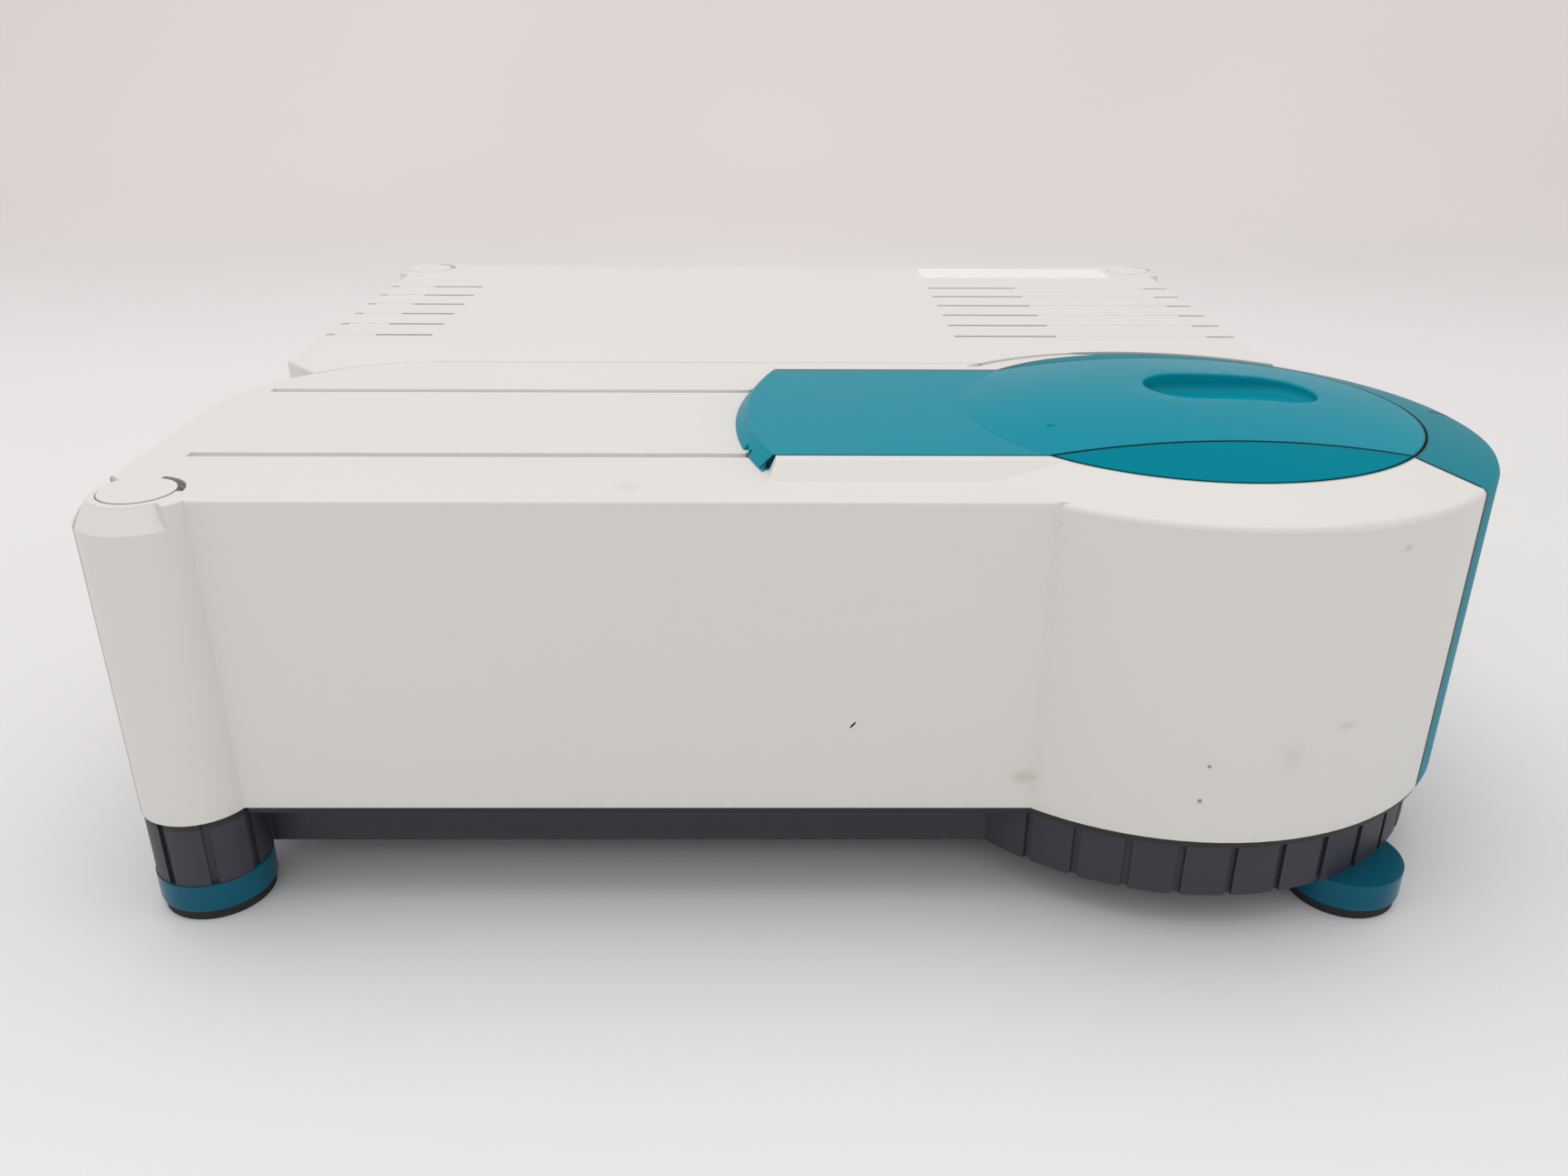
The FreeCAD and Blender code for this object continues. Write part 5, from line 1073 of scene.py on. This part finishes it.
class INSTRUMENT_OT_rocker_marks(bpy.types.Operator):
    """Raise the on and off marks on the power switch's rocker"""
    bl_idname = "instrument.rocker_marks"
    bl_label = "Rocker marks"

    def execute(self, context):
        low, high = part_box("power_rocker")
        centre = (low + high) / 2
        face = high.y
        made = plain_plastic("white marking", (0.75, 0.75, 0.74), 0.5)
        bar = block("rocker_on_mark", (centre.x - 0.35 * MM, face - 1.3 * MM, centre.z + 4.4 * MM),
                    (centre.x + 0.35 * MM, face - 0.9 * MM, centre.z + 7.4 * MM))
        bpy.ops.mesh.primitive_torus_add(major_radius=1.5 * MM, minor_radius=0.28 * MM, major_segments=32,
                                         minor_segments=8, rotation=FACING_REAR,
                                         location=(centre.x, face - 1.2 * MM, centre.z - 5.8 * MM))
        ring = begin("rocker_off_mark")
        for piece in (bar, ring):
            soften(piece, 0.06 * MM)
            settle(piece, made, "power_rocker", "white_plastic")
        return {"FINISHED"}


class INSTRUMENT_OT_holder_knobs(bpy.types.Operator):
    """Model the cell holder's two fluted knobs"""
    bl_idname = "instrument.holder_knobs"
    bl_label = "Holder knobs"

    def execute(self, context):
        sizes = context.scene.instrument_pieces
        low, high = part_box("holder_knobs")
        radius = (high.z - low.z) / 2
        depth = high.y - low.y
        centre = Vector((low.x + radius, (low.y + high.y) / 2, low.z + radius))
        knob = rod("holder_knob_1", centre, radius, depth, FACING_REAR, vertices=4 * sizes.knob_flutes)
        step = 2 * math.pi / sizes.knob_flutes

        def in_flute(a, b):
            if abs(a.y - b.y) < depth / 2:
                return False
            angle = math.atan2(a.z - centre.z, a.x - centre.x) % step
            return step * 0.2 < angle < step * 0.6
        pick(knob, "EDGE", in_flute)
        bpy.ops.transform.resize(value=(0.93, 1, 0.93), center_override=centre)
        close()
        pick(knob, "FACE", lambda middle, normal: normal.y < -0.9)
        bpy.ops.mesh.inset(thickness=radius * 0.25)
        bpy.ops.transform.translate(value=(0, depth * 0.12, 0))
        close()
        soften(knob, 0.25 * MM)
        twin = copy_of(knob, "holder_knob_2", Vector((high.x - low.x - 2 * radius, 0, 0)))
        for piece in (knob, twin):
            settle(piece, bpy.data.materials["black plastic"], "housing", "black_plastic", "holder_knobs")
        return {"FINISHED"}


class INSTRUMENT_OT_stage(bpy.types.Operator):
    """Set the table, the wall, the lights and the camera"""
    bl_idname = "instrument.stage"
    bl_label = "Stage"

    def execute(self, context):
        settings = context.scene.instrument_stage
        backdrop(settings)
        room_light(settings)
        key_light(settings)
        camera(settings)
        context.scene.view_settings.view_transform = "Standard"
        return {"FINISHED"}


def backdrop(settings):
    """A pale table that sweeps up into a pale wall far behind the instrument."""
    bpy.ops.mesh.primitive_plane_add(size=6, location=(0, -0.7, 0))
    sweep = begin("backdrop")
    far = 2.3
    pick(sweep, "EDGE", lambda a, b: min(a.y, b.y) > far - 0.1)
    bpy.ops.mesh.extrude_region_move(TRANSFORM_OT_translate={"value": (0, 0, 3)})
    close()
    bevel(sweep, lambda a, b: min(a.y, b.y) > far - 0.1 and max(a.z, b.z) < 0.1, 0.9, 24)
    bpy.ops.object.shade_smooth()
    made, tree, sockets = new_material("pale backdrop", 0.55)
    _, y, z = axes(tree)
    rise = tree.ramp(y, 0.6, 2.2)
    cloud = tree.ramp(tree.noise(1.3, 2.0), 0.2, 0.8, 0.98, 1.02)
    tone = tree.mix(rise, settings.table_white, settings.wall_grey)
    scaled = tree.add("ShaderNodeVectorMath", operation="SCALE")
    tree.feed(scaled.inputs[0], tone)
    tree.feed(scaled.inputs["Scale"], cloud)
    tree.feed(sockets["Base Color"], scaled.outputs[0])
    dress(sweep, made)


def room_light(settings):
    """Even light all round, with a pale wall for the camera and for reflections."""
    world = bpy.data.worlds.new("room")
    bpy.context.scene.world = world
    world.use_nodes = True
    tree = Tree(world.node_tree)
    world.node_tree.nodes.clear()
    paths = tree.add("ShaderNodeLightPath").outputs
    seen = tree.math("MAXIMUM", paths["Is Camera Ray"],
                     tree.math("MAXIMUM", paths["Is Glossy Ray"], paths["Is Transmission Ray"]))
    light = tree.add("ShaderNodeBackground")
    light.inputs["Color"].default_value = (0.98, 0.985, 1.0, 1.0)
    light.inputs["Strength"].default_value = settings.sky_light
    wall = tree.add("ShaderNodeBackground")
    wall.inputs["Color"].default_value = tuple(settings.wall_grey) + (1.0,)
    joined = tree.add("ShaderNodeMixShader")
    tree.feed(joined.inputs[0], seen)
    tree.feed(joined.inputs[1], light.outputs[0])
    tree.feed(joined.inputs[2], wall.outputs[0])
    tree.feed(tree.add("ShaderNodeOutputWorld").inputs["Surface"], joined.outputs[0])


def key_light(settings):
    """One large soft light overhead, a little behind the instrument."""
    data = bpy.data.lights.new("overhead", "AREA")
    data.shape = "RECTANGLE"
    data.size = 2.4
    data.size_y = 1.6
    data.energy = settings.key_power
    data.color = (1.0, 0.985, 0.965)
    lamp = bpy.data.objects.new("overhead", data)
    lamp.location = (-0.2, 0.1, 1.9)
    bpy.context.scene.collection.objects.link(lamp)


def camera(settings):
    """The camera at the photograph's view."""
    pitch, yaw, roll = settings.camera_pitch, settings.camera_yaw, settings.camera_roll
    level = Vector((-math.sin(yaw), math.cos(yaw), 0))
    side = Vector((math.cos(yaw), math.sin(yaw), 0))
    upright = Vector((0, 0, 1))
    ahead = level * math.cos(pitch) - upright * math.sin(pitch)
    top = level * math.sin(pitch) + upright * math.cos(pitch)
    right = side * math.cos(roll) + top * math.sin(roll)
    above = top * math.cos(roll) - side * math.sin(roll)
    data = bpy.data.cameras.new("camera")
    data.sensor_width = 36
    data.lens = settings.camera_lens
    data.clip_start = 0.01
    data.clip_end = 50
    seat = bpy.data.objects.new("camera", data)
    turned = Matrix((right, above, -ahead)).transposed().to_4x4()
    seat.matrix_world = Matrix.Translation(settings.camera_place) @ turned
    bpy.context.scene.collection.objects.link(seat)
    bpy.context.scene.camera = seat


class INSTRUMENT_PT_dressing(bpy.types.Panel):
    bl_idname = "INSTRUMENT_PT_dressing"
    bl_label = "Spectrophotometer"
    bl_space_type = "VIEW_3D"
    bl_region_type = "UI"
    bl_category = "Instrument"

    def draw(self, context):
        for operator in OPERATORS:
            self.layout.operator(operator.bl_idname)
        for name, group in SETTINGS.items():
            for field in group.__annotations__:
                self.layout.prop(getattr(context.scene, name), field)


SETTINGS = {
    "instrument_finish": FinishSettings,
    "instrument_pieces": PieceSettings,
    "instrument_stage": StageSettings,
}

OPERATORS = (
    INSTRUMENT_OT_stage,
    INSTRUMENT_OT_groups,
    INSTRUMENT_OT_plastics,
    INSTRUMENT_OT_metals,
    INSTRUMENT_OT_optics,
    INSTRUMENT_OT_crown,
    INSTRUMENT_OT_lid_nose,
    INSTRUMENT_OT_rear_vents,
    INSTRUMENT_OT_label,
    INSTRUMENT_OT_panel_screws,
    INSTRUMENT_OT_data_socket,
    INSTRUMENT_OT_rocker_marks,
    INSTRUMENT_OT_holder_knobs,
)


def register():
    for group in SETTINGS.values():
        bpy.utils.register_class(group)
    for name, group in SETTINGS.items():
        setattr(bpy.types.Scene, name, PointerProperty(type=group))
    for operator in OPERATORS:
        bpy.utils.register_class(operator)
    bpy.utils.register_class(INSTRUMENT_PT_dressing)


def unregister():
    bpy.utils.unregister_class(INSTRUMENT_PT_dressing)
    for operator in reversed(OPERATORS):
        bpy.utils.unregister_class(operator)
    for name in SETTINGS:
        delattr(bpy.types.Scene, name)
    for group in SETTINGS.values():
        bpy.utils.unregister_class(group)


def main():
    register()
    bpy.ops.object.select_all(action="DESELECT")
    for operator in OPERATORS:
        family, name = operator.bl_idname.split(".")
        getattr(getattr(bpy.ops, family), name)()


if __name__ == "__main__":
    main()
